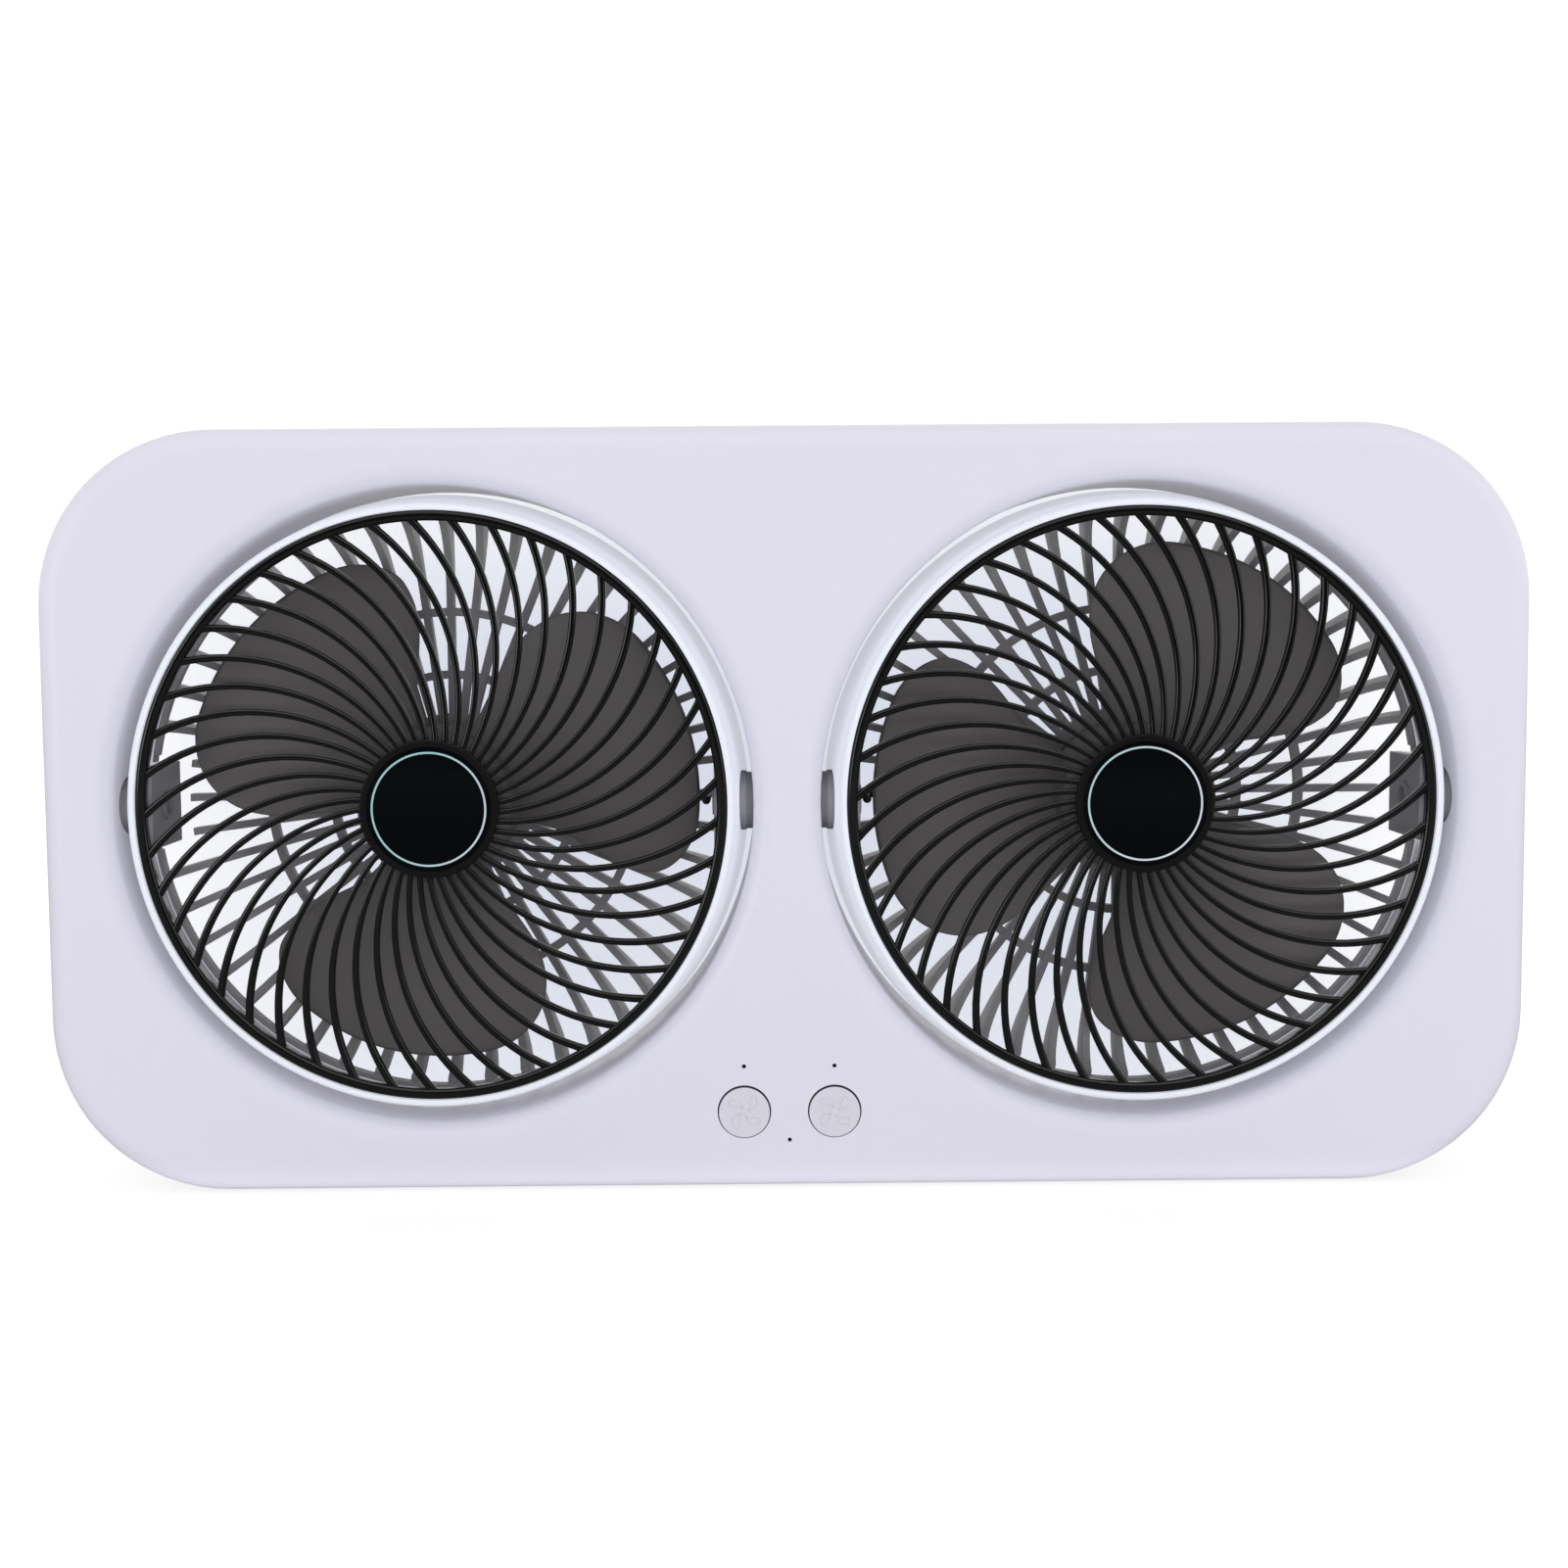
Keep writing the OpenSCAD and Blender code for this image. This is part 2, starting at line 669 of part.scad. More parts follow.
module dome_section() {
    root_z = cap_front_z - cap_t;
    tip_z = rim_z - 0.4;
    polygon([[hub_plate_r - 1, root_z], [grille_r - 0.6, tip_z],
        [grille_r - 0.6, tip_z - rib_depth + 0.7], [hub_plate_r - 1, root_z - rib_depth]]);
}

module front_grille(side, turn) color(black) at_head(side) {
    intersection() {
        union() for (i = [0 : grille_ribs - 1]) rotate([0, 0, turn + i * 360 / grille_ribs])
            linear_extrude(cap_front_z + cut) rib_outline();
        rotate_extrude() dome_section();
    }
    rotate_extrude() {
        translate([grille_inner_r, grille_seat_z])
            square([grille_ring_w, rim_z - grille_seat_z - grille_ring_w / 2]);
        translate([grille_inner_r + grille_ring_w / 2, rim_z - grille_ring_w / 2])
            circle(d = grille_ring_w);
    }
    translate([0, 0, hub_back_z]) cylinder(r = hub_plate_r, h = cap_front_z - cap_t - hub_back_z);
}

module hub_cap(side) color("#101010") at_head(side)
    difference() {
        rotate_extrude() {
            translate([0, cap_front_z - cap_t]) square([cap_r, cap_t - 0.5]);
            translate([0, cap_front_z - cap_t]) square([cap_r - 0.5, cap_t]);
            translate([cap_r - 0.5, cap_front_z - 0.5]) circle(r = 0.5);
        }
        translate([0, 0, cap_front_z - 0.5]) rotate_extrude()
            translate([accent_d / 2 - accent_w / 2, 0]) square([accent_w, cut]);
    }

module accent_ring(side) color("#79d3ea") at_head(side)
    translate([0, 0, cap_front_z - 0.5]) rotate_extrude()
        translate([accent_d / 2 - accent_w / 2, 0]) square([accent_w, 0.5]);

// Rear guard: a bowl of radial ribs with two rings and a closed plate for the motor

module bowl_section(inset) {
    translate([guard_corner_x, guard_corner_z]) circle(r = guard_corner_r - inset);
    translate([0, guard_back_z + inset]) square([guard_corner_x, barrel_z - guard_back_z - inset]);
    translate([0, guard_corner_z]) square([guard_outer_r - inset, barrel_z - guard_corner_z]);
}

module guard_rib_section(end_x)
    intersection() {
        difference() {
            bowl_section(0);
            bowl_section(guard_t - rib_drop);
        }
        translate([motor_plate_d / 2 - 2, guard_back_z - cut])
            square([end_x - motor_plate_d / 2 + 2, barrel_z - rib_drop - guard_back_z + cut]);
    }

// Ribs that would meet a pivot plate stop short of it
function rib_end(turn) =
    abs(sin(turn)) * plate_inner_x < plate_h / 2 + plate_room + guard_rib_w
        ? plate_inner_x - plate_room : guard_outer_r;

module ring_bar(d, w, z, h)
    translate([0, 0, z]) rotate_extrude() translate([d / 2 - w / 2, 0]) square([w, h]);

module rear_guard(side) color("#6b676a") at_head(side)
    difference() {
        union() {
            for (i = [0 : guard_ribs - 1])
                let (turn = i * 360 / guard_ribs)
                    rotate([90, 0, turn]) linear_extrude(guard_rib_w, center = true)
                        guard_rib_section(rib_end(turn));
            for (d = [guard_ring_1_d, guard_ring_2_d])
                ring_bar(d, guard_ring_w, guard_back_z + rib_drop, guard_t - 3 * rib_drop);
            ring_bar(2 * guard_outer_r - guard_rim_w - 2 * rib_drop, guard_rim_w, barrel_z - 3, 3);
            for (turn = [0, 180]) rotate([0, 0, turn + spigot_from])
                translate([0, 0, barrel_z - 1]) rotate_extrude(angle = 180 - 2 * spigot_from)
                    translate([barrel_r - barrel_wall - 1.7, 0]) square([1.2, spigot_h + 1]);
            translate([0, 0, guard_back_z - 0.3]) cylinder(d = motor_plate_d, h = guard_t + 0.3);
            translate([0, 0, guard_face_z - eps])
                cylinder(r = holder_r, h = holder_front_z - guard_face_z + eps);
        }
        translate([0, 0, shaft_back_z - 0.4]) cylinder(d = bearing_d, h = guard_depth + panel_d);
    }

// Motor

module motor_board(side) color("#2f6b46") at_head(side)
    translate([0, 0, guard_face_z])
        difference() {
            cylinder(r = motor_board_r, h = motor_board_t);
            translate([0, 0, -cut]) cylinder(r = holder_r + 0.1, h = motor_board_t + 2 * cut);
        }

module stator(side) color("#b87a3e") at_head(side) {
    tooth_w = 2.2;
    translate([0, 0, stator_back_z]) linear_extrude(stator_front_z - stator_back_z)
        difference() {
            union() {
                circle(r = holder_r + 1.6);
                difference() {
                    circle(r = stator_r);
                    circle(r = stator_r - 1);
                    for (i = [0 : stator_teeth - 1]) rotate([0, 0, (i + 0.5) * 360 / stator_teeth])
                        translate([0, -0.6]) square([2 * stator_r, 1.2]);
                }
                for (i = [0 : stator_teeth - 1]) rotate([0, 0, i * 360 / stator_teeth])
                    translate([0, -tooth_w / 2]) square([stator_r - 0.5, tooth_w]);
            }
            circle(r = holder_r + seat_gap);
        }
    for (i = [0 : stator_teeth - 1]) rotate([0, 0, i * 360 / stator_teeth])
        translate([holder_r + 2.2, -1.7, stator_back_z - coil_over])
            cube([stator_r - holder_r - 3.8, 3.4, stator_front_z - stator_back_z + 2 * coil_over]);
}

module bearings(side) color("#c8c8cc") at_head(side)
    for (z = bearing_levels) translate([0, 0, z])
        difference() {
            cylinder(d = bearing_d, h = bearing_len);
            translate([0, 0, -cut]) cylinder(r = shaft_r, h = bearing_len + 2 * cut);
        }

module motor_shaft(side) color("#c8c8cc") at_head(side)
    translate([0, 0, shaft_back_z])
        cylinder(r = shaft_r - shaft_gap, h = shaft_front_z - shaft_back_z);

module shaft_clip(side) color("#8f9094") at_head(side)
    translate([0, 0, holder_front_z + 0.3])
        difference() {
            cylinder(r = shaft_r + 1.4, h = 0.6);
            translate([0, 0, -cut]) cylinder(r = shaft_r - shaft_gap, h = 3 * cut);
        }

module magnet_can(side) color("#9a9ca2") at_head(side)
    translate([0, 0, cup_back_z + 0.5])
        difference() {
            cylinder(r = can_r, h = stator_front_z - cup_back_z + 1.5);
            translate([0, 0, -cut])
                cylinder(r = can_r - can_t - magnet_t, h = stator_front_z - cup_back_z + 4 * cut);
        }

// The head's stretch of the lead drops behind the blades to the motor board
module motor_lead(side) color("#26262a") at_head(side) rotate([0, 0, side > 0 ? 180 : 0]) {
    drop_x = rotor_r + 2.1;
    low_z = guard_face_z + lead_r + 0.1;
    turn_x = guard_corner_x - 3;
    drop_z = guard_corner_z - 2;
    slope = atan2(drop_z - low_z, drop_x - turn_x);
    translate([drop_x, 0, 0]) sphere(r = lead_r);
    translate([drop_x, 0, drop_z]) cylinder(r = lead_r, h = -drop_z);
    translate([drop_x, 0, drop_z]) sphere(r = lead_r);
    translate([turn_x, 0, low_z]) rotate([0, 90 - slope, 0])
        cylinder(r = lead_r, h = norm([drop_x - turn_x, drop_z - low_z]));
    translate([turn_x, 0, low_z]) sphere(r = lead_r);
    translate([motor_board_r, 0, low_z]) rotate([0, 90, 0])
        cylinder(r = lead_r, h = turn_x - motor_board_r);
}

// Rotor: a cup with three petal blades, each a twisted and cambered sheet

function blade_r(i) = cup_r - 0.6 + (rotor_r - cup_r + 0.6) * sin(90 * i / blade_steps);
function rounding(r, from) =
    r <= from ? 0 : 1 - sqrt(max(0, 1 - pow((r - from) / (rotor_r - from), 2)));
function bulge(r) =
    r < rear_bulge_from ? 0
        : rear_bulge_angle * sin(180 * (r - rear_bulge_from) / (rotor_r - rear_bulge_from));
function front_edge(r) = blade_span / 2 - front_round_angle * rounding(r, front_round_from);
function rear_edge(r) =
    -blade_span / 2 - bulge(r) + rear_round_angle * rounding(r, rear_round_from);
function blade_rise(r) = blade_depth_root
    + (blade_depth_tip - blade_depth_root) * (r - cup_r) / (rotor_r - cup_r);
function blade_angle(r, t) = rear_edge(r) + (front_edge(r) - rear_edge(r)) * t;
function blade_z(r, t, up) = blade_mid_z
    + blade_rise(r) * (blade_angle(r, t) / blade_span)
    + 1.6 * sin(180 * t)
    + up * (blade_edge_t + (blade_t - blade_edge_t) * sin(180 * t)) / 2;
function blade_point(i, j, up) =
    let (r = blade_r(i), t = j / chord_steps, a = blade_angle(r, t))
    [r * cos(a), r * sin(a), blade_z(r, t, up)];

module blade() {
    row = chord_steps + 1;
    layer = row * (blade_steps + 1);
    points = [for (up = [-1, 1], i = [0 : blade_steps], j = [0 : chord_steps]) blade_point(i, j, up)];
    quads = concat(
        [for (i = [0 : blade_steps - 1], j = [0 : chord_steps - 1])
            let (a = layer + i * row + j) [a, a + 1, a + row + 1, a + row]],
        [for (i = [0 : blade_steps - 1], j = [0 : chord_steps - 1])
            let (a = i * row + j) [a, a + row, a + row + 1, a + 1]],
        [for (i = [0 : blade_steps - 1]) let (a = i * row)
            [a, a + layer, a + layer + row, a + row]],
        [for (i = [0 : blade_steps - 1]) let (a = i * row + chord_steps)
            [a, a + row, a + layer + row, a + layer]],
        [for (j = [0 : chord_steps - 1]) [j, j + 1, j + 1 + layer, j + layer]],
        [for (j = [0 : chord_steps - 1]) let (a = blade_steps * row + j)
            [a, a + layer, a + layer + 1, a + 1]]);
    polyhedron(points,
        [for (q = quads) each [[q[0], q[1], q[2]], [q[0], q[2], q[3]]]]);
}

module fan_rotor(side, turn) color("#4b4748") at_head(side) {
    difference() {
        union() {
            difference() {
                translate([0, 0, cup_back_z]) cylinder(r = cup_r, h = cup_front_z - cup_back_z);
                translate([0, 0, cup_back_z - cut])
                    cylinder(r = can_r, h = cup_front_z - cup_wall - cup_back_z + cut);
            }
            translate([0, 0, holder_front_z + 1.5])
                cylinder(r = shaft_r + 2.4, h = cup_front_z - holder_front_z - 1.5 - eps);
        }
        translate([0, 0, holder_front_z])
            cylinder(r = shaft_r - shaft_gap, h = shaft_front_z - holder_front_z);
    }
    for (i = [0 : blade_count - 1]) rotate([0, 0, turn + i * 360 / blade_count]) blade();
}

front_panel();
rear_cover();
cover_screws();
bracket_nuts();
control_board();
board_screws();
tact_switches();
status_leds();
light_pipes();
battery_cell(cell_edge);  // lower_battery_cell
battery_cell(panel_h - cell_edge);  // upper_battery_cell
battery_cradle(cell_edge);  // lower_battery_cradle
battery_cradle(panel_h - cell_edge);  // upper_battery_cradle
charging_port();
charging_board();
frame_lead(left);  // left_frame_lead
frame_lead(right);  // right_frame_lead
pivot(left, -1);  // left_outer_pivot
pivot(left, 1);  // left_inner_pivot
pivot(right, -1);  // right_inner_pivot
pivot(right, 1);  // right_outer_pivot
button_cap(left);  // left_button_cap
button_cap(right);  // right_button_cap
switch_plunger(left);  // left_switch_plunger
switch_plunger(right);  // right_switch_plunger
head_shell(left);  // left_head_shell
head_shell(right);  // right_head_shell
rear_guard(left);  // left_rear_guard
rear_guard(right);  // right_rear_guard
front_grille(left, left_rib_turn);  // left_front_grille
front_grille(right, right_rib_turn);  // right_front_grille
hub_cap(left);  // left_hub_cap
hub_cap(right);  // right_hub_cap
accent_ring(left);  // left_accent_ring
accent_ring(right);  // right_accent_ring
motor_board(left);  // left_motor_board
motor_board(right);  // right_motor_board
stator(left);  // left_stator
stator(right);  // right_stator
bearings(left);  // left_bearings
bearings(right);  // right_bearings
motor_lead(left);  // left_motor_lead
motor_lead(right);  // right_motor_lead
fan_rotor(left, left_blade_turn);  // left_fan_rotor
fan_rotor(right, right_blade_turn);  // right_fan_rotor
magnet_can(left);  // left_magnet_can
magnet_can(right);  // right_magnet_can
motor_shaft(left);  // left_motor_shaft
motor_shaft(right);  // right_motor_shaft
shaft_clip(left);  // left_shaft_clip
shaft_clip(right);  // right_shaft_clip
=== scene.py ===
import json
import math
import bmesh
import bpy
from mathutils import Matrix, Vector


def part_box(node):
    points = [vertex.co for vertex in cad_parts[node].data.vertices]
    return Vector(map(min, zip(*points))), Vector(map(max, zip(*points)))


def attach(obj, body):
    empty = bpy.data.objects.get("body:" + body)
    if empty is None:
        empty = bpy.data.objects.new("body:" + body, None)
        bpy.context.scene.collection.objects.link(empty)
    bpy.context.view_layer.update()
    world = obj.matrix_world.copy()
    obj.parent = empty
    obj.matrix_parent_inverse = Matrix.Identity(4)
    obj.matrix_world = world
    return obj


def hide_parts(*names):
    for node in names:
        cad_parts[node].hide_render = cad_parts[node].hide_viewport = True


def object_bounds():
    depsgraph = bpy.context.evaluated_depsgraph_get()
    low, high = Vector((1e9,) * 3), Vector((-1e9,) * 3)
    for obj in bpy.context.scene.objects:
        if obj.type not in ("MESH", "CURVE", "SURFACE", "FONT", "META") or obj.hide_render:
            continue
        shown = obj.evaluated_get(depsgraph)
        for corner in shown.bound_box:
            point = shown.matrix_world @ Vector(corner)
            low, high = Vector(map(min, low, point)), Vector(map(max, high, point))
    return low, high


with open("model.json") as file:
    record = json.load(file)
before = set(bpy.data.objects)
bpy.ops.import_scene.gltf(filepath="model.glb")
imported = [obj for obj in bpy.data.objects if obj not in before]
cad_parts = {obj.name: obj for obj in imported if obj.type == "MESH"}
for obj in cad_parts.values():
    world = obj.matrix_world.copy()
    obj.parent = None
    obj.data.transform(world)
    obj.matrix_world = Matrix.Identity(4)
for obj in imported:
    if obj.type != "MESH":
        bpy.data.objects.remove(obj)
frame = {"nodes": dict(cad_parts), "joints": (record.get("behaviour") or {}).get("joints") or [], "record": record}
cadLow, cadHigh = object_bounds()
print("frame loaded:", len(frame["nodes"]), "nodes")

scene = bpy.context.scene
scene.view_settings.view_transform = "Standard"
mm = 0.001
sides = ("left", "right")
headAxis = {joint["name"].split("_")[0]: Vector(joint["pos_m"])
            for joint in frame["joints"] if joint["name"].endswith("_head_tilt")}
uprightTurn = Matrix.Rotation(math.pi / 2, 4, "X")  # a head is drawn lying down, its front upwards


# Camera, light and floor

photoView = {
    "place": (-0.003995, -0.491, 0.130932),
    "yawDeg": -0.399,
    "pitchDeg": 4.5025,
    "rollDeg": -0.434,
    "focalPixels": 2121.7,
    "imagePixels": 1601,
    "sensorMm": 36,
    "clipStart": 0.01,
}


def addCamera():
    data = bpy.data.cameras.new("photoCamera")
    data.sensor_width = photoView["sensorMm"]
    data.lens = photoView["sensorMm"] * photoView["focalPixels"] / photoView["imagePixels"]
    data.clip_start = photoView["clipStart"]
    camera = bpy.data.objects.new("photoCamera", data)
    scene.collection.objects.link(camera)
    yaw, pitch, roll = (math.radians(photoView[key]) for key in ("yawDeg", "pitchDeg", "rollDeg"))
    aim = Matrix.Rotation(yaw, 4, "Z") @ Matrix.Rotation(math.pi / 2 - pitch, 4, "X")
    turn = aim @ Matrix.Rotation(roll, 4, "Z")
    camera.matrix_world = Matrix.Translation(photoView["place"]) @ turn
    scene.camera = camera


studio = {
    "ambientColor": (0.98, 0.985, 1.0),
    "ambientStrength": 0.77,
    "softboxes": {  # gloss says whether a softbox shows in shiny surfaces
        "brow": {"place": (-0.1, -1.55, 0.95), "size": (2.4, 0.14), "watts": 1.5, "gloss": True},
        "low": {"place": (0.35, -1.2, 0.07), "size": (1.8, 0.12), "watts": 4.6, "gloss": False},
        "leftStrip": {"place": (-1.25, -1.3, 0.2), "size": (0.35, 0.9), "watts": 3.2, "gloss": True},
        "top": {"place": (0.0, -0.1, 1.1), "size": (1.5, 0.5), "watts": 0.6, "gloss": True},
        "rightEdge": {"place": (1.1, 0.1, 0.3), "size": (0.5, 0.8), "watts": 0.5, "gloss": True},
    },
    "cardPlace": (0.0, -1.9, 0.5),  # dark card behind the camera, seen in gloss only
    "cardSize": (4.4, 2.2),
    "floorSize": 12.0,
    "floorDrop": 0.0002,  # floor just below the part, so that no faces coincide
    "wallGap": 0.052,  # backdrop behind the panel, clear of a tilted head and near enough to hold shade
    "paper": (0.95, 0.95, 0.95),  # floor and backdrop as the object sees them
    "paperInGloss": (0.2, 0.2, 0.2),
    "floorShade": (0.3, 0.3, 0.3),  # shade takes shadows and glow doesn't
    "floorGlow": (0.8, 0.8, 0.8),
    "wallShade": (0.72, 0.66, 0.46),
    "wallGlow": (0.44, 0.49, 0.64),
    "cardColor": (0.01, 0.01, 0.01),
}


def addNode(tree, kind, links=None, **settings):
    node = tree.nodes.new(kind)
    for key, value in settings.items():
        setattr(node, key, value)
    for key, value in (links or {}).items():
        if isinstance(value, bpy.types.NodeSocket):
            tree.links.new(value, node.inputs[key])
        else:
            node.inputs[key].default_value = value
    return node


def calc(tree, operation, a, b=0.0):
    return addNode(tree, "ShaderNodeMath", {0: a, 1: b}, operation=operation).outputs[0]


def addWorld():
    world = bpy.data.worlds.new("studioWorld")
    scene.world = world
    world.use_nodes = True
    tree = world.node_tree
    tree.nodes.clear()
    ray = addNode(tree, "ShaderNodeLightPath").outputs
    seen = calc(tree, "MAXIMUM", calc(tree, "MAXIMUM", ray["Is Camera Ray"], ray["Is Glossy Ray"]),
                ray["Is Transmission Ray"])
    soft = addNode(tree, "ShaderNodeBackground", {"Color": (*studio["ambientColor"], 1),
                                                  "Strength": studio["ambientStrength"]})
    white = addNode(tree, "ShaderNodeBackground", {"Color": (1, 1, 1, 1), "Strength": 1})
    mix = addNode(tree, "ShaderNodeMixShader", {0: seen, 1: soft.outputs[0], 2: white.outputs[0]})
    addNode(tree, "ShaderNodeOutputWorld", {"Surface": mix.outputs[0]})


def addSoftbox(name, place, size, watts, gloss, aim=(0, 0, 0.08)):
    data = bpy.data.lights.new(name, "AREA")
    data.shape = "RECTANGLE"
    data.size, data.size_y = size
    data.energy = watts
    lamp = bpy.data.objects.new(name, data)
    scene.collection.objects.link(lamp)
    lamp.location = place
    lamp.visible_glossy = gloss
    lamp.rotation_mode = "QUATERNION"
    lamp.rotation_quaternion = (Vector(aim) - Vector(place)).to_track_quat("-Z", "Y")


def stagePlane(name, width, height, place, facing):
    bm = bmesh.new()
    bmesh.ops.create_grid(bm, x_segments=1, y_segments=1, size=0.5)
    turn = Vector(facing).to_track_quat("Z", "Y").to_matrix().to_4x4()
    bm.transform(Matrix.Translation(place) @ turn @ Matrix.Diagonal((width, height, 1, 1)))
    mesh = bpy.data.meshes.new(name)
    bm.to_mesh(mesh)
    bm.free()
    plane = bpy.data.objects.new(name, mesh)
    scene.collection.objects.link(plane)
    return plane


def backdropMaterial(name, shade, glow, seeThroughBack=False):
    material = bpy.data.materials.new(name)
    material.use_nodes = True
    tree = material.node_tree
    tree.nodes.clear()
    ray = addNode(tree, "ShaderNodeLightPath").outputs
    pale = addNode(tree, "ShaderNodeMix", {0: ray["Is Glossy Ray"], 6: (*studio["paper"], 1),
                                           7: (*studio["paperInGloss"], 1)}, data_type="RGBA")
    paper = addNode(tree, "ShaderNodeBsdfDiffuse", {"Color": pale.outputs[2]})
    shaded = addNode(tree, "ShaderNodeBsdfDiffuse", {"Color": (*shade, 1)})
    lit = addNode(tree, "ShaderNodeEmission", {"Color": (*glow, 1), "Strength": 1})
    white = addNode(tree, "ShaderNodeAddShader", {0: shaded.outputs[0], 1: lit.outputs[0]})
    seen = calc(tree, "MAXIMUM", ray["Is Camera Ray"], ray["Is Transmission Ray"])
    mix = addNode(tree, "ShaderNodeMixShader", {0: seen, 1: paper.outputs[0], 2: white.outputs[0]})
    if seeThroughBack:
        side = addNode(tree, "ShaderNodeNewGeometry")
        clear = addNode(tree, "ShaderNodeBsdfTransparent")
        mix = addNode(tree, "ShaderNodeMixShader", {0: side.outputs["Backfacing"], 1: mix.outputs[0],
                                                    2: clear.outputs[0]})
    addNode(tree, "ShaderNodeOutputMaterial", {"Surface": mix.outputs[0]})
    return material


def addStudio():
    for name, box in studio["softboxes"].items():
        addSoftbox(name + "Light", **box)
    size, drop = studio["floorSize"], studio["floorDrop"]
    floor = stagePlane("floor", size, size, (0, 0, -drop), (0, 0, 1))
    floor.data.materials.append(backdropMaterial("floorPaper", studio["floorShade"], studio["floorGlow"]))
    wallPlace = (0, cadHigh.y + studio["wallGap"], size / 2 - drop)
    wall = stagePlane("backdrop", size, size, wallPlace, (0, -1, 0))
    wallPaper = backdropMaterial("backdropPaper", studio["wallShade"], studio["wallGlow"],
                                 seeThroughBack=True)
    wall.data.materials.append(wallPaper)
    wall.visible_diffuse = wall.visible_glossy = wall.visible_transmission = wall.visible_shadow = False
    card = stagePlane("darkCard", *studio["cardSize"], studio["cardPlace"], (0, 1, 0))
    dark = bpy.data.materials.new("darkCard")
    dark.use_nodes = True
    shader = dark.node_tree.nodes["Principled BSDF"]
    shader.inputs["Base Color"].default_value = (*studio["cardColor"], 1)
    shader.inputs["Roughness"].default_value = 1
    card.data.materials.append(dark)
    card.visible_camera = card.visible_diffuse = card.visible_transmission = card.visible_shadow = False


addCamera()
addWorld()
addStudio()
print("camera, lights and backdrop placed")


# Materials, one for each slot of the record

def startMaterial(name, color, roughness, metallic=0.0, specular=0.5):
    material = bpy.data.materials.new(name)
    material.use_nodes = True
    tree = material.node_tree
    shader = tree.nodes["Principled BSDF"]
    shader.inputs["Base Color"].default_value = (*color, 1)
    shader.inputs["Roughness"].default_value = roughness
    shader.inputs["Metallic"].default_value = metallic
    shader.inputs["Specular IOR Level"].default_value = specular
    place = addNode(tree, "ShaderNodeTexCoord").outputs["Object"]
    return material, tree, shader, place


def noiseOf(tree, place, sizeMm, detail=3.0, stretch=None):
    if stretch:
        place = addNode(tree, "ShaderNodeMapping", {"Vector": place, "Scale": stretch}).outputs[0]
    noise = addNode(tree, "ShaderNodeTexNoise", {"Vector": place, "Scale": 1 / (sizeMm * mm),
                                                 "Detail": detail})
    return noise.outputs[0]


def tintBy(tree, shader, factor, color, spread):
    darker = (*[c * (1 - spread) for c in color], 1)
    lighter = (*[min(c * (1 + spread), 1) for c in color], 1)
    mix = addNode(tree, "ShaderNodeMix", {0: factor, 6: darker, 7: lighter}, data_type="RGBA")
    tree.links.new(mix.outputs[2], shader.inputs["Base Color"])


noiseSpan = (0.3, 0.7)  # nearly all of a noise's values lie between these


def roughenBy(tree, shader, factor, low, high):
    span = addNode(tree, "ShaderNodeMapRange", {
        "Value": factor, "From Min": noiseSpan[0], "From Max": noiseSpan[1], "To Min": low, "To Max": high})
    tree.links.new(span.outputs[0], shader.inputs["Roughness"])


def bumpBy(tree, shader, height, depthMm):
    bump = addNode(tree, "ShaderNodeBump", {"Height": height, "Distance": depthMm * mm, "Strength": 1.0})
    tree.links.new(bump.outputs[0], shader.inputs["Normal"])


plasticLooks = {  # gapGlow lifts the shade in narrow gaps
    "panel_white": {"color": (0.70, 0.685, 0.775), "roughness": (0.30, 0.36), "mottle": 0.008,
                    "grainMm": 0.5, "depthMm": 0.003, "sheen": 0.25, "gapGlow": 0.26},
    "head_white": {"color": (0.80, 0.82, 0.89), "roughness": (0.32, 0.40), "mottle": 0.008,
                   "grainMm": 0.5, "depthMm": 0.003, "specular": 0.2, "gapGlow": 0.6},
    "grille_black": {"color": (0.003, 0.003, 0.003), "roughness": (0.13, 0.18), "mottle": 0.2,
                     "grainMm": 0.7, "depthMm": 0.004, "specular": 0.6},
    "rotor_grey": {"color": (0.135, 0.125, 0.128), "roughness": (0.55, 0.65), "mottle": 0.06,
                   "grainMm": 0.4, "depthMm": 0.006, "specular": 0.02},
    "pivot_grey": {"color": (0.26, 0.255, 0.275), "roughness": (0.40, 0.5), "mottle": 0.05,
                   "grainMm": 0.35, "depthMm": 0.008, "specular": 0.3},
    "dark_plastic": {"color": (0.02, 0.02, 0.022), "roughness": (0.45, 0.6), "mottle": 0.15,
                     "grainMm": 0.3, "depthMm": 0.01},
    "smoked_plastic": {"color": (0.004, 0.004, 0.005), "roughness": (0.12, 0.18), "mottle": 0.1,
                       "grainMm": 0.5, "depthMm": 0.002},
    "lead_black": {"color": (0.012, 0.012, 0.013), "roughness": (0.5, 0.62), "mottle": 0.15,
                   "grainMm": 0.25, "depthMm": 0.01},
}
patchMm = {"tint": 40, "gloss": 9}  # sizes of the faint patches on every plastic
metalLooks = {
    "zinc_steel": {"color": (0.56, 0.57, 0.59), "roughness": (0.28, 0.42), "stretch": (1, 1, 1)},
    "port_steel": {"color": (0.58, 0.59, 0.61), "roughness": (0.2, 0.32), "stretch": (1, 1, 6)},
    "bright_steel": {"color": (0.60, 0.60, 0.62), "roughness": (0.14, 0.26), "stretch": (1, 8, 1)},
    "brass": {"color": (0.62, 0.44, 0.16), "roughness": (0.2, 0.32), "stretch": (1, 8, 1)},
}
metalStreaks = {"sizeMm": 0.35, "detail": 5.0, "contrast": 0.1, "depthMm": 0.004}


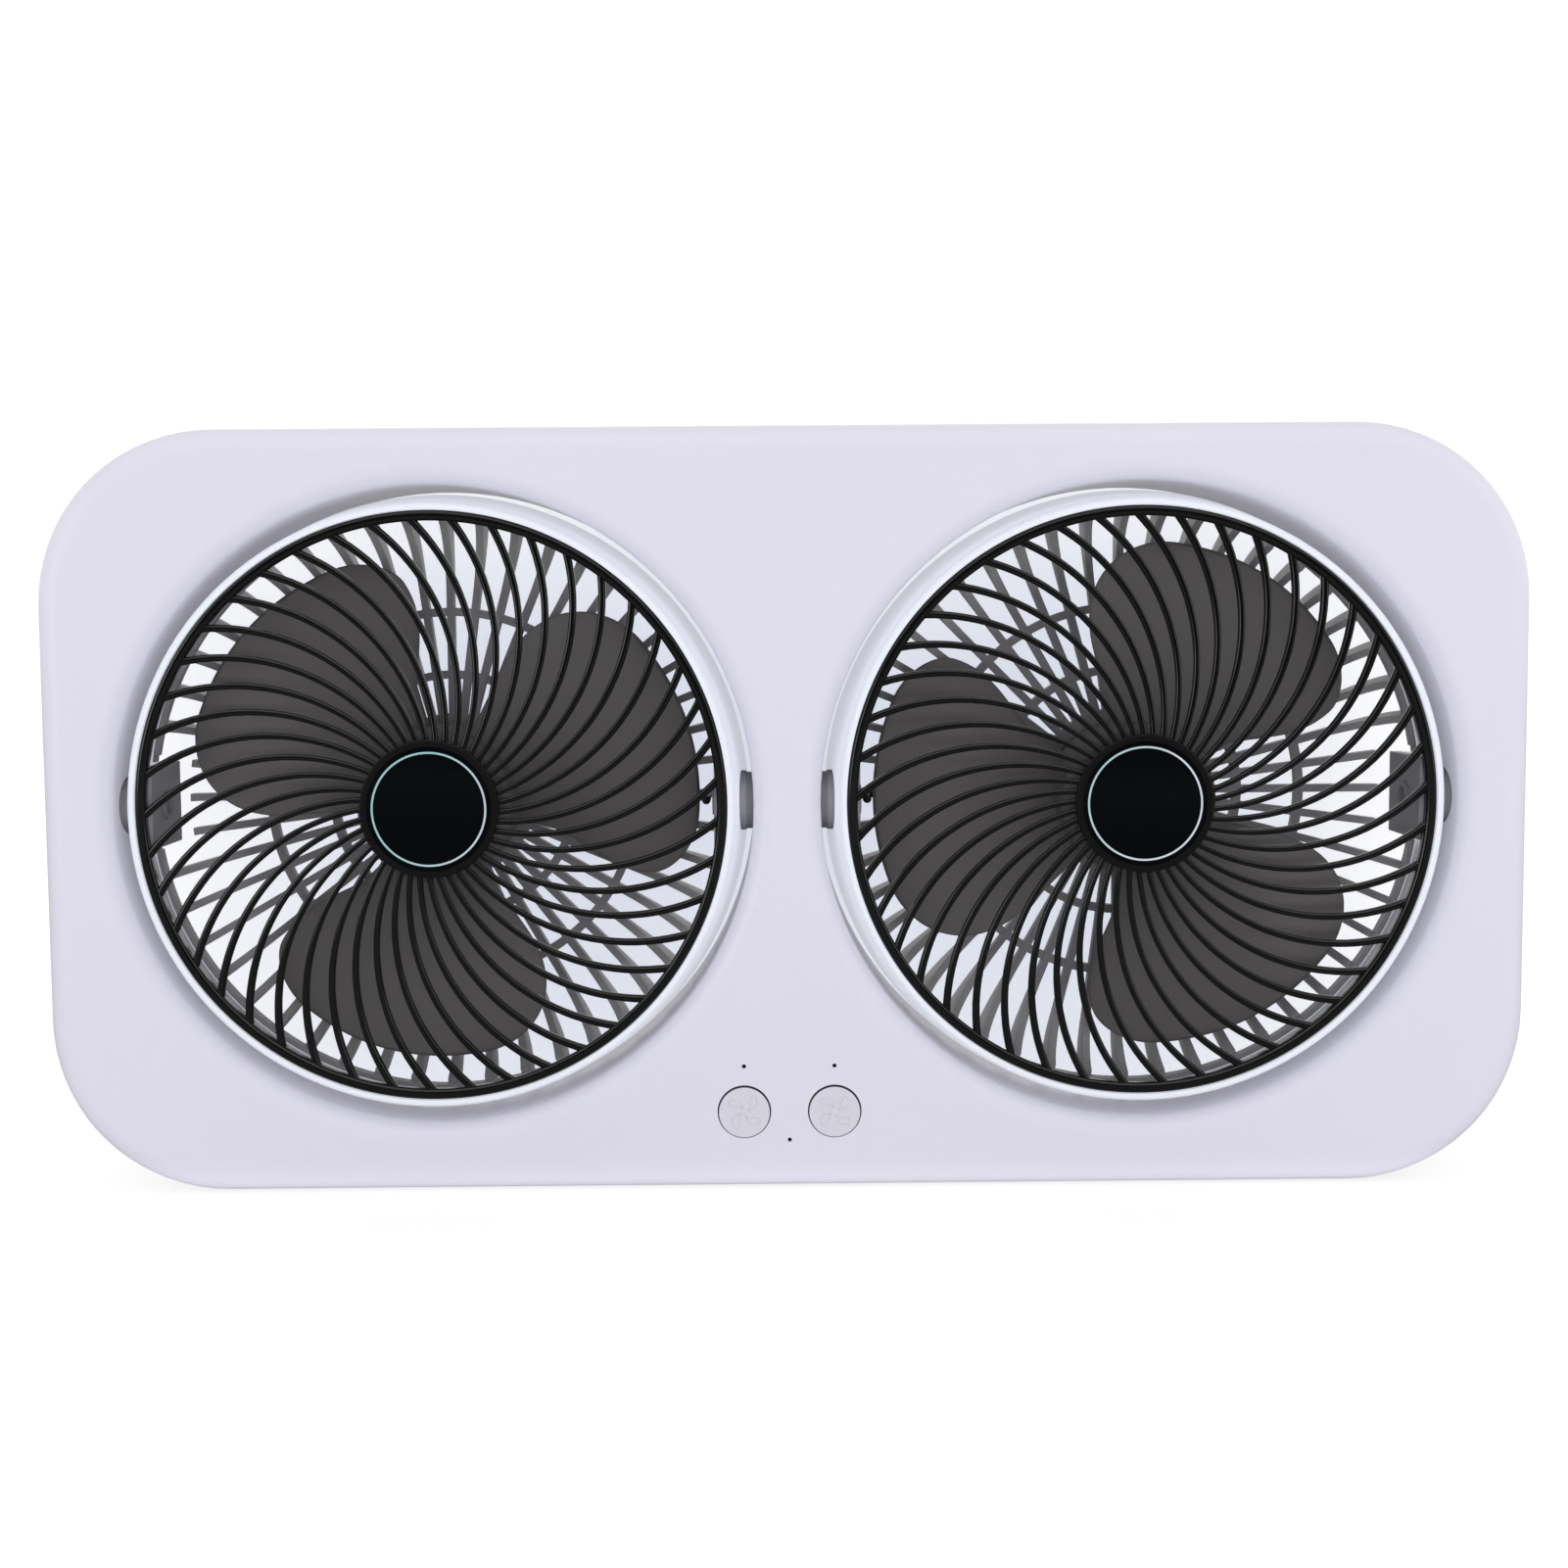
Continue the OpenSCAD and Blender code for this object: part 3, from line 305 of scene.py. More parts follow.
def plasticMaterial(name, look):
    material, tree, shader, place = startMaterial(name, look["color"], look["roughness"][0],
                                                  specular=look.get("specular", 0.5))
    shader.inputs["Sheen Weight"].default_value = look.get("sheen", 0.0)
    fine = noiseOf(tree, place, look["grainMm"])
    broad = noiseOf(tree, place, patchMm["tint"], 2.0)
    tintBy(tree, shader, broad, look["color"], look["mottle"])
    roughenBy(tree, shader, noiseOf(tree, place, patchMm["gloss"], 4.0), *look["roughness"])
    bumpBy(tree, shader, fine, look["depthMm"])
    if "gapGlow" in look:
        fillGaps(tree, shader, look)
    return material


gap = {"reach": 12 * mm, "samples": 8, "startsAt": 0.85, "fullAt": 0.15}


def fillGaps(tree, shader, look):
    # stands in for the light that bounces about in a narrow gap
    near = addNode(tree, "ShaderNodeAmbientOcclusion", {"Distance": gap["reach"]}, samples=gap["samples"])
    glow = addNode(tree, "ShaderNodeMapRange", {
        "Value": near.outputs["AO"], "From Min": gap["startsAt"], "From Max": gap["fullAt"], "To Min": 0,
        "To Max": look["gapGlow"]})
    direct = addNode(tree, "ShaderNodeLightPath").outputs["Is Camera Ray"]
    shader.inputs["Emission Color"].default_value = (*look["color"], 1)
    tree.links.new(calc(tree, "MULTIPLY", glow.outputs[0], direct), shader.inputs["Emission Strength"])


def metalMaterial(name, look):
    material, tree, shader, place = startMaterial(name, look["color"], look["roughness"][0], metallic=1)
    streaks = noiseOf(tree, place, metalStreaks["sizeMm"], metalStreaks["detail"], look["stretch"])
    tintBy(tree, shader, streaks, look["color"], metalStreaks["contrast"])
    roughenBy(tree, shader, streaks, *look["roughness"])
    bumpBy(tree, shader, streaks, metalStreaks["depthMm"])
    return material


windingLook = {"color": (0.55, 0.22, 0.08), "roughness": 0.3, "wireMm": 1.1, "uneven": 0.6, "contrast": 0.35,
               "depthMm": 0.12}
boardLook = {"color": (0.012, 0.10, 0.04), "roughness": (0.25, 0.4), "trackMm": 14, "trackShare": 0.035,
             "grainMm": 4, "contrast": 0.35, "depthMm": 0.03}
sleeveLook = {"color": (0.03, 0.12, 0.30), "roughness": (0.18, 0.34), "wrinkleMm": 6, "detail": 4.0,
              "stretch": (0.25, 1, 1), "contrast": 0.12, "depthMm": 0.05}
resinLook = {"color": (0.86, 0.84, 0.72), "roughness": (0.1, 0.25), "clearness": 0.5, "hazeMm": 0.6,
             "contrast": 0.05}


def windingMaterial():
    look = windingLook
    material, tree, shader, place = startMaterial("copper", look["color"], look["roughness"], metallic=1)
    wires = addNode(tree, "ShaderNodeTexWave", {"Vector": place, "Scale": 1 / (look["wireMm"] * mm),
                                                "Distortion": look["uneven"]}, bands_direction="Y")
    tintBy(tree, shader, wires.outputs[1], look["color"], look["contrast"])
    bumpBy(tree, shader, wires.outputs[1], look["depthMm"])
    return material


def boardMaterial():
    look = boardLook
    material, tree, shader, place = startMaterial("board_green", look["color"], look["roughness"][0])
    stand = addNode(tree, "ShaderNodeMapping", {"Vector": place, "Rotation": (math.pi / 2, 0, 0)}).outputs[0]
    tracks = addNode(tree, "ShaderNodeTexBrick", {
        "Vector": stand, "Scale": 1 / (look["trackMm"] * mm), "Mortar Size": look["trackShare"],
        "Color1": (0, 0, 0, 1), "Color2": (0, 0, 0, 1), "Mortar": (1, 1, 1, 1)})
    tintBy(tree, shader, tracks.outputs[0], look["color"], look["contrast"])
    roughenBy(tree, shader, noiseOf(tree, place, look["grainMm"]), *look["roughness"])
    bumpBy(tree, shader, tracks.outputs[0], look["depthMm"])
    return material


def sleeveMaterial():
    look = sleeveLook
    material, tree, shader, place = startMaterial("cell_sleeve", look["color"], look["roughness"][0])
    wrinkles = noiseOf(tree, place, look["wrinkleMm"], look["detail"], look["stretch"])
    tintBy(tree, shader, wrinkles, look["color"], look["contrast"])
    roughenBy(tree, shader, wrinkles, *look["roughness"])
    bumpBy(tree, shader, wrinkles, look["depthMm"])
    return material


def resinMaterial():
    look = resinLook
    material, tree, shader, place = startMaterial("led_resin", look["color"], look["roughness"][0])
    shader.inputs["Transmission Weight"].default_value = look["clearness"]
    haze = noiseOf(tree, place, look["hazeMm"])
    tintBy(tree, shader, haze, look["color"], look["contrast"])
    roughenBy(tree, shader, haze, *look["roughness"])
    return material


capLook = {"disc": (0.001, 0.0014, 0.0022), "band": (0.006, 0.006, 0.0065), "discReach": 14.1 * mm,
           "edge": 0.1 * mm, "specular": 0.12, "polish": 0.04, "haze": 0.08, "hazeMm": 3, "bandMatt": 0.3,
           "grainMm": 0.5, "depthMm": 0.001}
accentLook = {"left": (0.31, 0.54, 0.54), "right": (0.60, 0.65, 0.70), "rim": (0.006, 0.006, 0.0065),
              "reach": 13 * mm, "lean": 0.5, "shift": 8 * mm, "middle": 12.8 * mm, "half": 0.22 * mm,
              "roughness": (0.25, 0.35), "patchMm": 2}
# painted shadow: the dark edge colour and its downward shift paint the shade in the gap round a cap, thicker at
# the top
buttonLook = {"face": (0.64, 0.635, 0.695), "gapShadow": (0.01, 0.01, 0.011), "reach": 5.82 * mm,
              "edge": 0.05 * mm, "shadowDrop": 0.17 * mm, "roughness": (0.38, 0.46), "patchMm": 5,
              "grainMm": 0.3, "depthMm": 0.006}
# painted shade: grey for the white plates that lie in the shade inside a head
shadedPlateLook = {"color": (0.30, 0.297, 0.335), "reach": 66.3 * mm, "halfHeight": 10.6 * mm}
# painted light: the inner and outer colours make the ribs paler towards the rim, where they catch more light
guardLook = {"inner": (0.25, 0.24, 0.26), "outer": (0.40, 0.395, 0.41), "from": 52 * mm, "to": 63 * mm,
             "wander": 3 * mm, "wanderMm": 6, "roughness": (0.42, 0.55), "specular": 0.3,
             "grainMm": 0.35, "depthMm": 0.01}


def middleOf(node):
    low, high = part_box(node)
    return (Vector(low) + Vector(high)) / 2


def offsetsFrom(tree, place, pitch, height):
    # sideways and upward distance from the nearer of two like centres
    parts = addNode(tree, "ShaderNodeSeparateXYZ", {0: place}).outputs
    centre = calc(tree, "MULTIPLY", calc(tree, "SIGN", parts["X"]), pitch)
    return calc(tree, "SUBTRACT", parts["X"], centre), calc(tree, "SUBTRACT", parts["Z"], height)


def radiusOf(tree, across, up):
    squares = calc(tree, "ADD", calc(tree, "MULTIPLY", across, across), calc(tree, "MULTIPLY", up, up))
    return calc(tree, "SQRT", squares)


def blendAt(tree, value, start, end, low, high):
    share = addNode(tree, "ShaderNodeMapRange", {"Value": value, "From Min": start, "From Max": end})
    mix = addNode(tree, "ShaderNodeMix", {0: share.outputs[0], 6: (*low, 1), 7: (*high, 1)},
                  data_type="RGBA")
    return mix.outputs[2]


def paintShadeOnPlates(material):
    # painted shade: the two flat plates of the white shell that carry a head's pivot holes are coloured grey on
    # their inner side, for the shade inside the head, and lose the gap glow there
    tree = material.node_tree
    shader = tree.nodes["Principled BSDF"]
    place = addNode(tree, "ShaderNodeTexCoord").outputs["Object"]
    axis = headAxis["right"]
    across, up = (calc(tree, "ABSOLUTE", off) for off in offsetsFrom(tree, place, axis.x, axis.z))
    inside = calc(tree, "MULTIPLY", calc(tree, "LESS_THAN", across, shadedPlateLook["reach"]),
                  calc(tree, "LESS_THAN", up, shadedPlateLook["halfHeight"]))
    plain = shader.inputs["Base Color"].links[0].from_socket
    color = addNode(tree, "ShaderNodeMix", {0: inside, 6: plain, 7: (*shadedPlateLook["color"], 1)},
                    data_type="RGBA").outputs[2]
    tree.links.new(color, shader.inputs["Base Color"])
    glow = shader.inputs["Emission Strength"].links[0].from_socket
    glow = calc(tree, "MULTIPLY", glow, calc(tree, "SUBTRACT", 1.0, inside))
    tree.links.new(glow, shader.inputs["Emission Strength"])


def capMaterial():
    material, tree, shader, place = startMaterial("cap_black", capLook["disc"], capLook["polish"],
                                                  specular=capLook["specular"])
    axis = headAxis["right"]
    radius = radiusOf(tree, *offsetsFrom(tree, place, axis.x, axis.z))
    reach = capLook["discReach"]
    color = blendAt(tree, radius, reach, reach + capLook["edge"], capLook["disc"], capLook["band"])
    tree.links.new(color, shader.inputs["Base Color"])
    haze = calc(tree, "MULTIPLY", noiseOf(tree, place, capLook["hazeMm"]), capLook["haze"])
    matt = calc(tree, "MULTIPLY", calc(tree, "GREATER_THAN", radius, reach), capLook["bandMatt"])
    rough = calc(tree, "ADD", calc(tree, "ADD", haze, matt), capLook["polish"])
    tree.links.new(rough, shader.inputs["Roughness"])
    bumpBy(tree, shader, noiseOf(tree, place, capLook["grainMm"]), capLook["depthMm"])
    return material


def accentMaterial():
    # the ring's colour runs from one side to the other, and its edges sink into the cap
    material, tree, shader, place = startMaterial("accent_cyan", accentLook["left"],
                                                  accentLook["roughness"][0])
    axis = headAxis["right"]
    across, up = offsetsFrom(tree, place, axis.x, axis.z)
    slant = calc(tree, "SUBTRACT", across, calc(tree, "MULTIPLY", up, accentLook["lean"]))
    whichHead = calc(tree, "SIGN", addNode(tree, "ShaderNodeSeparateXYZ", {0: place}).outputs["X"])
    slant = calc(tree, "ADD", slant, calc(tree, "MULTIPLY", whichHead, accentLook["shift"]))
    reach = accentLook["reach"]
    color = blendAt(tree, slant, -reach, reach, accentLook["left"], accentLook["right"])
    off = calc(tree, "ABSOLUTE", calc(tree, "SUBTRACT", radiusOf(tree, across, up), accentLook["middle"]))
    edge = calc(tree, "GREATER_THAN", off, accentLook["half"])
    color = addNode(tree, "ShaderNodeMix", {0: edge, 6: color, 7: (*accentLook["rim"], 1)},
                    data_type="RGBA").outputs[2]
    tree.links.new(color, shader.inputs["Base Color"])
    roughenBy(tree, shader, noiseOf(tree, place, accentLook["patchMm"]), *accentLook["roughness"])
    return material


def guardMaterial():
    # painted light: the ribs are coloured paler towards the rim, where more light reaches them
    material, tree, shader, place = startMaterial("guard_grey", guardLook["inner"],
                                                  guardLook["roughness"][0], specular=guardLook["specular"])
    axis = headAxis["right"]
    radius = radiusOf(tree, *offsetsFrom(tree, place, axis.x, axis.z))
    wander = calc(tree, "MULTIPLY", noiseOf(tree, place, guardLook["wanderMm"]), guardLook["wander"])
    color = blendAt(tree, calc(tree, "ADD", radius, wander), guardLook["from"], guardLook["to"],
                    guardLook["inner"], guardLook["outer"])
    tree.links.new(color, shader.inputs["Base Color"])
    roughenBy(tree, shader, noiseOf(tree, place, patchMm["gloss"], 4.0), *guardLook["roughness"])
    bumpBy(tree, shader, noiseOf(tree, place, guardLook["grainMm"]), guardLook["depthMm"])
    return material


def buttonMaterial():
    # painted shadow: a dark ring round the face, shifted down so that it is thicker at the top, stands for the
    # shadow in the gap between a cap and the panel
    material, tree, shader, place = startMaterial("button_white", buttonLook["face"],
                                                  buttonLook["roughness"][0])
    middle = middleOf("right_button_cap")
    across, up = offsetsFrom(tree, place, middle.x, middle.z - buttonLook["shadowDrop"])
    reach = buttonLook["reach"]
    color = blendAt(tree, radiusOf(tree, across, up), reach, reach + buttonLook["edge"],
                    buttonLook["face"], buttonLook["gapShadow"])
    tree.links.new(color, shader.inputs["Base Color"])
    roughenBy(tree, shader, noiseOf(tree, place, buttonLook["patchMm"]), *buttonLook["roughness"])
    bumpBy(tree, shader, noiseOf(tree, place, buttonLook["grainMm"]), buttonLook["depthMm"])
    return material


materials = {name: plasticMaterial(name, look) for name, look in plasticLooks.items()}
materials.update({name: metalMaterial(name, look) for name, look in metalLooks.items()})
paintShadeOnPlates(materials["head_white"])
materials["cap_black"] = capMaterial()
materials["accent_cyan"] = accentMaterial()
materials["button_white"] = buttonMaterial()
materials["guard_grey"] = guardMaterial()
materials["copper"] = windingMaterial()
materials["board_green"] = boardMaterial()
materials["cell_sleeve"] = sleeveMaterial()
materials["led_resin"] = resinMaterial()

for row in frame["record"]["subparts"]:
    node = frame["nodes"][row["node"]]
    node.data.materials.clear()
    node.data.materials.append(materials[row["material_slot"]])
print("materials made:", len(materials))


# Tools that the pieces share

def smoothMesh(mesh, sharpDeg=35):
    bm = bmesh.new()
    bm.from_mesh(mesh)
    for face in bm.faces:
        face.smooth = True
    for edge in bm.edges:
        edge.smooth = len(edge.link_faces) == 2 and edge.calc_face_angle(0) < math.radians(sharpDeg)
    bm.to_mesh(mesh)
    bm.free()


def pieceFrom(bm, name, finish, place):
    bmesh.ops.remove_doubles(bm, verts=bm.verts, dist=1e-7)
    bmesh.ops.recalc_face_normals(bm, faces=bm.faces)
    bm.transform(place)
    mesh = bpy.data.meshes.new(name)
    bm.to_mesh(mesh)
    bm.free()
    smoothMesh(mesh)
    mesh.materials.append(finish)
    piece = bpy.data.objects.new(name, mesh)
    scene.collection.objects.link(piece)
    return piece


def startTree(name, sizes):
    tree = bpy.data.node_groups.new(name, "GeometryNodeTree")
    tree.interface.new_socket("Geometry", in_out="INPUT", socket_type="NodeSocketGeometry")
    tree.interface.new_socket("Geometry", in_out="OUTPUT", socket_type="NodeSocketGeometry")
    ids = {}
    for label, kind in sizes.items():
        socket = tree.interface.new_socket(label, in_out="INPUT", socket_type="NodeSocket" + kind)
        ids[label] = socket.identifier
    return tree, ids, addNode(tree, "NodeGroupInput").outputs


def endTree(tree, geometry, given):
    solid = addNode(tree, "GeometryNodeRealizeInstances", {"Geometry": geometry}).outputs[0]
    stood = addNode(tree, "GeometryNodeTransform", {"Geometry": solid, "Translation": given["Head axis"],
                                                    "Rotation": (math.pi / 2, 0, 0)}).outputs[0]
    done = addNode(tree, "GeometryNodeSetMaterial", {"Geometry": stood, "Material": given["Finish"]})
    addNode(tree, "NodeGroupOutput", {"Geometry": done.outputs[0]})


def oneFinish(mesh, finish):
    # Set Material leaves an empty first slot, so every face goes onto the one finish
    mesh.materials.clear()
    mesh.materials.append(finish)
    mesh.polygons.foreach_set("material_index", [0] * len(mesh.polygons))


def grow(name, tree, ids, values, base=None, sharpDeg=35):
    piece = bpy.data.objects.new(name, base or bpy.data.meshes.new(name))
    scene.collection.objects.link(piece)
    modifier = piece.modifiers.new(tree.name, "NODES")
    modifier.node_group = tree
    for label, value in values.items():
        modifier[ids[label]] = value
    graph = bpy.context.evaluated_depsgraph_get()
    mesh = bpy.data.meshes.new_from_object(piece.evaluated_get(graph), depsgraph=graph)
    piece.modifiers.remove(modifier)
    piece.data = mesh
    oneFinish(mesh, values["Finish"])
    smoothMesh(mesh, sharpDeg)
    return piece


def copiesRound(tree, shape, count, turn, clearOfSides=None):
    spots = addNode(tree, "GeometryNodePoints", {"Count": count}).outputs[0]
    step = calc(tree, "DIVIDE", 2 * math.pi, count)
    index = addNode(tree, "GeometryNodeInputIndex").outputs[0]
    angle = calc(tree, "ADD", calc(tree, "MULTIPLY", index, step), turn)
    euler = addNode(tree, "ShaderNodeCombineXYZ", {"Z": angle}).outputs[0]
    wanted = {"Points": spots, "Instance": shape, "Rotation": euler}
    if clearOfSides is not None:  # no copy where the pivot plates are
        rise = calc(tree, "ABSOLUTE", calc(tree, "SINE", angle))
        wanted["Selection"] = calc(tree, "GREATER_THAN", rise, calc(tree, "SINE", clearOfSides))
    return addNode(tree, "GeometryNodeInstanceOnPoints", wanted).outputs[0]


# Spiral front grilles

grille = {
    "Ribs": 45,
    "Arc radius": 49 * mm,
    "Root radius": 14.4 * mm,
    "Tip radius": 66.0 * mm,
    "Root height": 17.1 * mm,
    "Tip height": 14.5 * mm,
    "Root share": 0.72,
    "Rib width": 1.75 * mm,
    "Rib depth": 2.3 * mm,
    "Ring radius": 66.15 * mm,
    "Ring width": 2.4 * mm,
    "Ring height": 13.95 * mm,
    "Skirt radius": 65.7 * mm,
    "Skirt height": 12.3 * mm,
    "Hub radius": 15.1 * mm,
    "Hub height": 16.1 * mm,
    "Hub depth": 2 * mm,
    "Rib round": 0.42,  # corner radius as a share of the width
    "Hoop round": 0.38,
}
grilleSteps = {"rib": 26, "ribCorner": 4, "hoop": 220, "hoopCorner": 5, "hub": 128}
hoopSections = {"Ring": (1.0, 0.85), "Skirt": (0.4, 0.7)}  # width and depth, as shares of the ring's width
grilleTurn = {"left": math.radians(3.25), "right": math.radians(1.05)}


def roundedBar(tree, width, depth, roundShare, steps):
    bar = addNode(tree, "GeometryNodeCurvePrimitiveQuadrilateral", {"Width": width, "Height": depth})
    rounding = calc(tree, "MULTIPLY", width, roundShare)
    rounded = addNode(tree, "GeometryNodeFilletCurve", {"Curve": bar.outputs[0], "Count": steps,
                                                        "Radius": rounding, "Limit Radius": True}, mode="POLY")
    return rounded.outputs[0]


def lifted(tree, shape, height):
    lift = addNode(tree, "ShaderNodeCombineXYZ", {"Z": height}).outputs[0]
    return addNode(tree, "GeometryNodeTransform", {"Geometry": shape, "Translation": lift}).outputs[0]


def grilleTree():
    kinds = {label: "Int" if label == "Ribs" else "Float" for label in grille}
    tree, ids, given = startTree("spiralGrille", {**kinds, "Turn": "Float", "Head axis": "Vector",
                                                  "Finish": "Material"})
    line = addNode(tree, "GeometryNodeCurvePrimitiveLine", {"End": (1, 0, 0)}).outputs[0]
    line = addNode(tree, "GeometryNodeResampleCurve", {"Curve": line,
                                                       "Count": grilleSteps["rib"]}).outputs[0]
    along = addNode(tree, "GeometryNodeSplineParameter").outputs["Factor"]
    reach = calc(tree, "SUBTRACT", given["Tip radius"], given["Root radius"])
    radius = calc(tree, "ADD", given["Root radius"], calc(tree, "MULTIPLY", reach, along))
    bend = calc(tree, "ARCSINE", calc(tree, "DIVIDE", radius, calc(tree, "MULTIPLY", given["Arc radius"], 2)))
    size = calc(tree, "ADD", given["Root share"],
                calc(tree, "MULTIPLY", calc(tree, "SUBTRACT", 1, given["Root share"]), along))
    drop = calc(tree, "SUBTRACT", given["Tip height"], given["Root height"])
    top = calc(tree, "ADD", given["Root height"], calc(tree, "MULTIPLY", drop, along))
    half = calc(tree, "MULTIPLY", given["Rib depth"], calc(tree, "MULTIPLY", size, 0.5))
    spot = addNode(tree, "ShaderNodeCombineXYZ", {
        "X": calc(tree, "MULTIPLY", radius, calc(tree, "COSINE", bend)),
        "Y": calc(tree, "MULTIPLY", radius, calc(tree, "SINE", bend)),
        "Z": calc(tree, "SUBTRACT", top, half)}).outputs[0]
    arc = addNode(tree, "GeometryNodeSetPosition", {"Geometry": line, "Position": spot}).outputs[0]
    arc = addNode(tree, "GeometryNodeSetCurveNormal", {"Curve": arc}, mode="Z_UP").outputs[0]
    bar = roundedBar(tree, given["Rib width"], given["Rib depth"], given["Rib round"],
                     grilleSteps["ribCorner"])
    rib = addNode(tree, "GeometryNodeCurveToMesh", {"Curve": arc, "Profile Curve": bar, "Scale": size,
                                                    "Fill Caps": True}).outputs[0]
    ribs = copiesRound(tree, rib, given["Ribs"], given["Turn"])
    hoops = []
    for name, (wide, deep) in hoopSections.items():
        circle = {"Resolution": grilleSteps["hoop"], "Radius": given[name + " radius"]}
        path = addNode(tree, "GeometryNodeCurvePrimitiveCircle", circle).outputs[0]
        width = calc(tree, "MULTIPLY", given["Ring width"], wide)
        depth = calc(tree, "MULTIPLY", given["Ring width"], deep)
        section = roundedBar(tree, width, depth, given["Hoop round"], grilleSteps["hoopCorner"])
        hoop = addNode(tree, "GeometryNodeCurveToMesh", {"Curve": path, "Profile Curve": section})
        hoops.append(lifted(tree, hoop.outputs[0], given[name + " height"]))
    hub = addNode(tree, "GeometryNodeMeshCylinder", {
        "Vertices": grilleSteps["hub"], "Radius": given["Hub radius"], "Depth": given["Hub depth"]})
    hub = lifted(tree, hub.outputs[0], given["Hub height"])
    whole = addNode(tree, "GeometryNodeJoinGeometry")
    for shape in (ribs, *hoops, hub):
        tree.links.new(shape, whole.inputs[0])
    endTree(tree, whole.outputs[0], given)
    return tree, ids


def addGrilles():
    tree, ids = grilleTree()
    for side in sides:
        values = {**grille, "Turn": grilleTurn[side], "Head axis": headAxis[side],
                  "Finish": materials["grille_black"]}
        piece = grow(side + "SpiralGrille", tree, ids, values)
        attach(piece, side + "_head")
        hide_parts(side + "_front_grille")
    print("spiral grilles:", grille["Ribs"], "ribs each")


addGrilles()


# Rotors: a cup with three petal blades, each a twisted and cambered sheet

rotor = {  # lengths in millimetres from the middle of the tilt axis
    "cupRadius": 17.8, "cupWall": 1.8, "cupFront": 11.7, "cupBack": -11.8, "cupRound": 2.2, "frontSkin": 1.4,
    "bossRadius": 3.9, "boreRadius": 1.48, "bossBack": 3.7,
    "tipRadius": 60.0, "spanDeg": 79.0, "rootRise": 15.0, "tipRise": 9.0, "midHeight": -3.0, "camber": 1.6,
    "midThick": 1.7, "edgeThick": 0.9, "edgeBulge": 0.42, "rootSink": 0.6,
    "frontRoundFrom": 35.0, "frontRoundDeg": 26.0, "rearRoundFrom": 52.0, "rearRoundDeg": 12.0,
    "bulgeFrom": 28.0, "bulgeDeg": 6.0,
    "rows": 44, "columns": 40, "blades": 3,
}
bladeTurn = {"left": math.radians(-96), "right": math.radians(-54.5)}


def roundOff(radius, start):
    if radius <= start:
        return 0.0
    return 1 - math.sqrt(max(0.0, 1 - ((radius - start) / (rotor["tipRadius"] - start)) ** 2))


def bladeAngle(radius, share):
    reach = rotor["tipRadius"] - rotor["bulgeFrom"]
    bulge = rotor["bulgeDeg"] * math.sin(math.pi * max(0.0, radius - rotor["bulgeFrom"]) / reach)
    front = rotor["spanDeg"] / 2 - rotor["frontRoundDeg"] * roundOff(radius, rotor["frontRoundFrom"])
    rear = -rotor["spanDeg"] / 2 - bulge + rotor["rearRoundDeg"] * roundOff(radius, rotor["rearRoundFrom"])
    return rear + (front - rear) * share


def bladePoint(row, share, up):
    start = rotor["cupRadius"] - rotor["rootSink"]
    radius = start + (rotor["tipRadius"] - start) * math.sin(math.pi / 2 * row / rotor["rows"])
    angle = bladeAngle(radius, share)
    rise = rotor["rootRise"] + (rotor["tipRise"] - rotor["rootRise"]) * (
        (radius - rotor["cupRadius"]) / (rotor["tipRadius"] - rotor["cupRadius"]))
    hump = math.sin(math.pi * share)
    thick = rotor["edgeThick"] + (rotor["midThick"] - rotor["edgeThick"]) * hump
    height = rotor["midHeight"] + rise * angle / rotor["spanDeg"] + rotor["camber"] * hump + up * thick / 2
    turn = math.radians(angle)
    return Vector((radius * math.cos(turn), radius * math.sin(turn), height)) * mm


def bladeMesh():
    rows, columns = rotor["rows"], rotor["columns"]
    bm = bmesh.new()
    sheets = []
    for up in (1, -1):
        sheets.append([[bm.verts.new(bladePoint(i, j / columns, up)) for j in range(columns + 1)]
                       for i in range(rows + 1)])
    for up, sheet in zip((1, -1), sheets):
        for i in range(rows):
            for j in range(columns):
                quad = [sheet[i][j], sheet[i + 1][j], sheet[i + 1][j + 1], sheet[i][j + 1]]
                bm.faces.new(quad if up > 0 else quad[::-1])
    rim = [(i, 0) for i in range(rows)] + [(rows, j) for j in range(columns)]
    rim += [(i, columns) for i in range(rows, 0, -1)] + [(0, j) for j in range(columns, 0, -1)]
    middle = []
    for k, (i, j) in enumerate(rim):
        high, low = sheets[0][i][j].co, sheets[1][i][j].co
        before = sheets[0][rim[k - 1][0]][rim[k - 1][1]].co
        after = sheets[0][rim[(k + 1) % len(rim)][0]][rim[(k + 1) % len(rim)][1]].co
        outward = (after - before).cross(high - low).normalized()
        middle.append(bm.verts.new((high + low) / 2 + outward * (high - low).length * rotor["edgeBulge"]))
    for k, (i, j) in enumerate(rim):
        n, m = rim[(k + 1) % len(rim)]
        nextMiddle = middle[(k + 1) % len(rim)]
        bm.faces.new([sheets[0][i][j], sheets[0][n][m], nextMiddle, middle[k]])
        bm.faces.new([middle[k], nextMiddle, sheets[1][n][m], sheets[1][i][j]])
    bmesh.ops.recalc_face_normals(bm, faces=bm.faces)
    mesh = bpy.data.meshes.new("petalBlade")
    bm.to_mesh(mesh)
    bm.free()
    return mesh


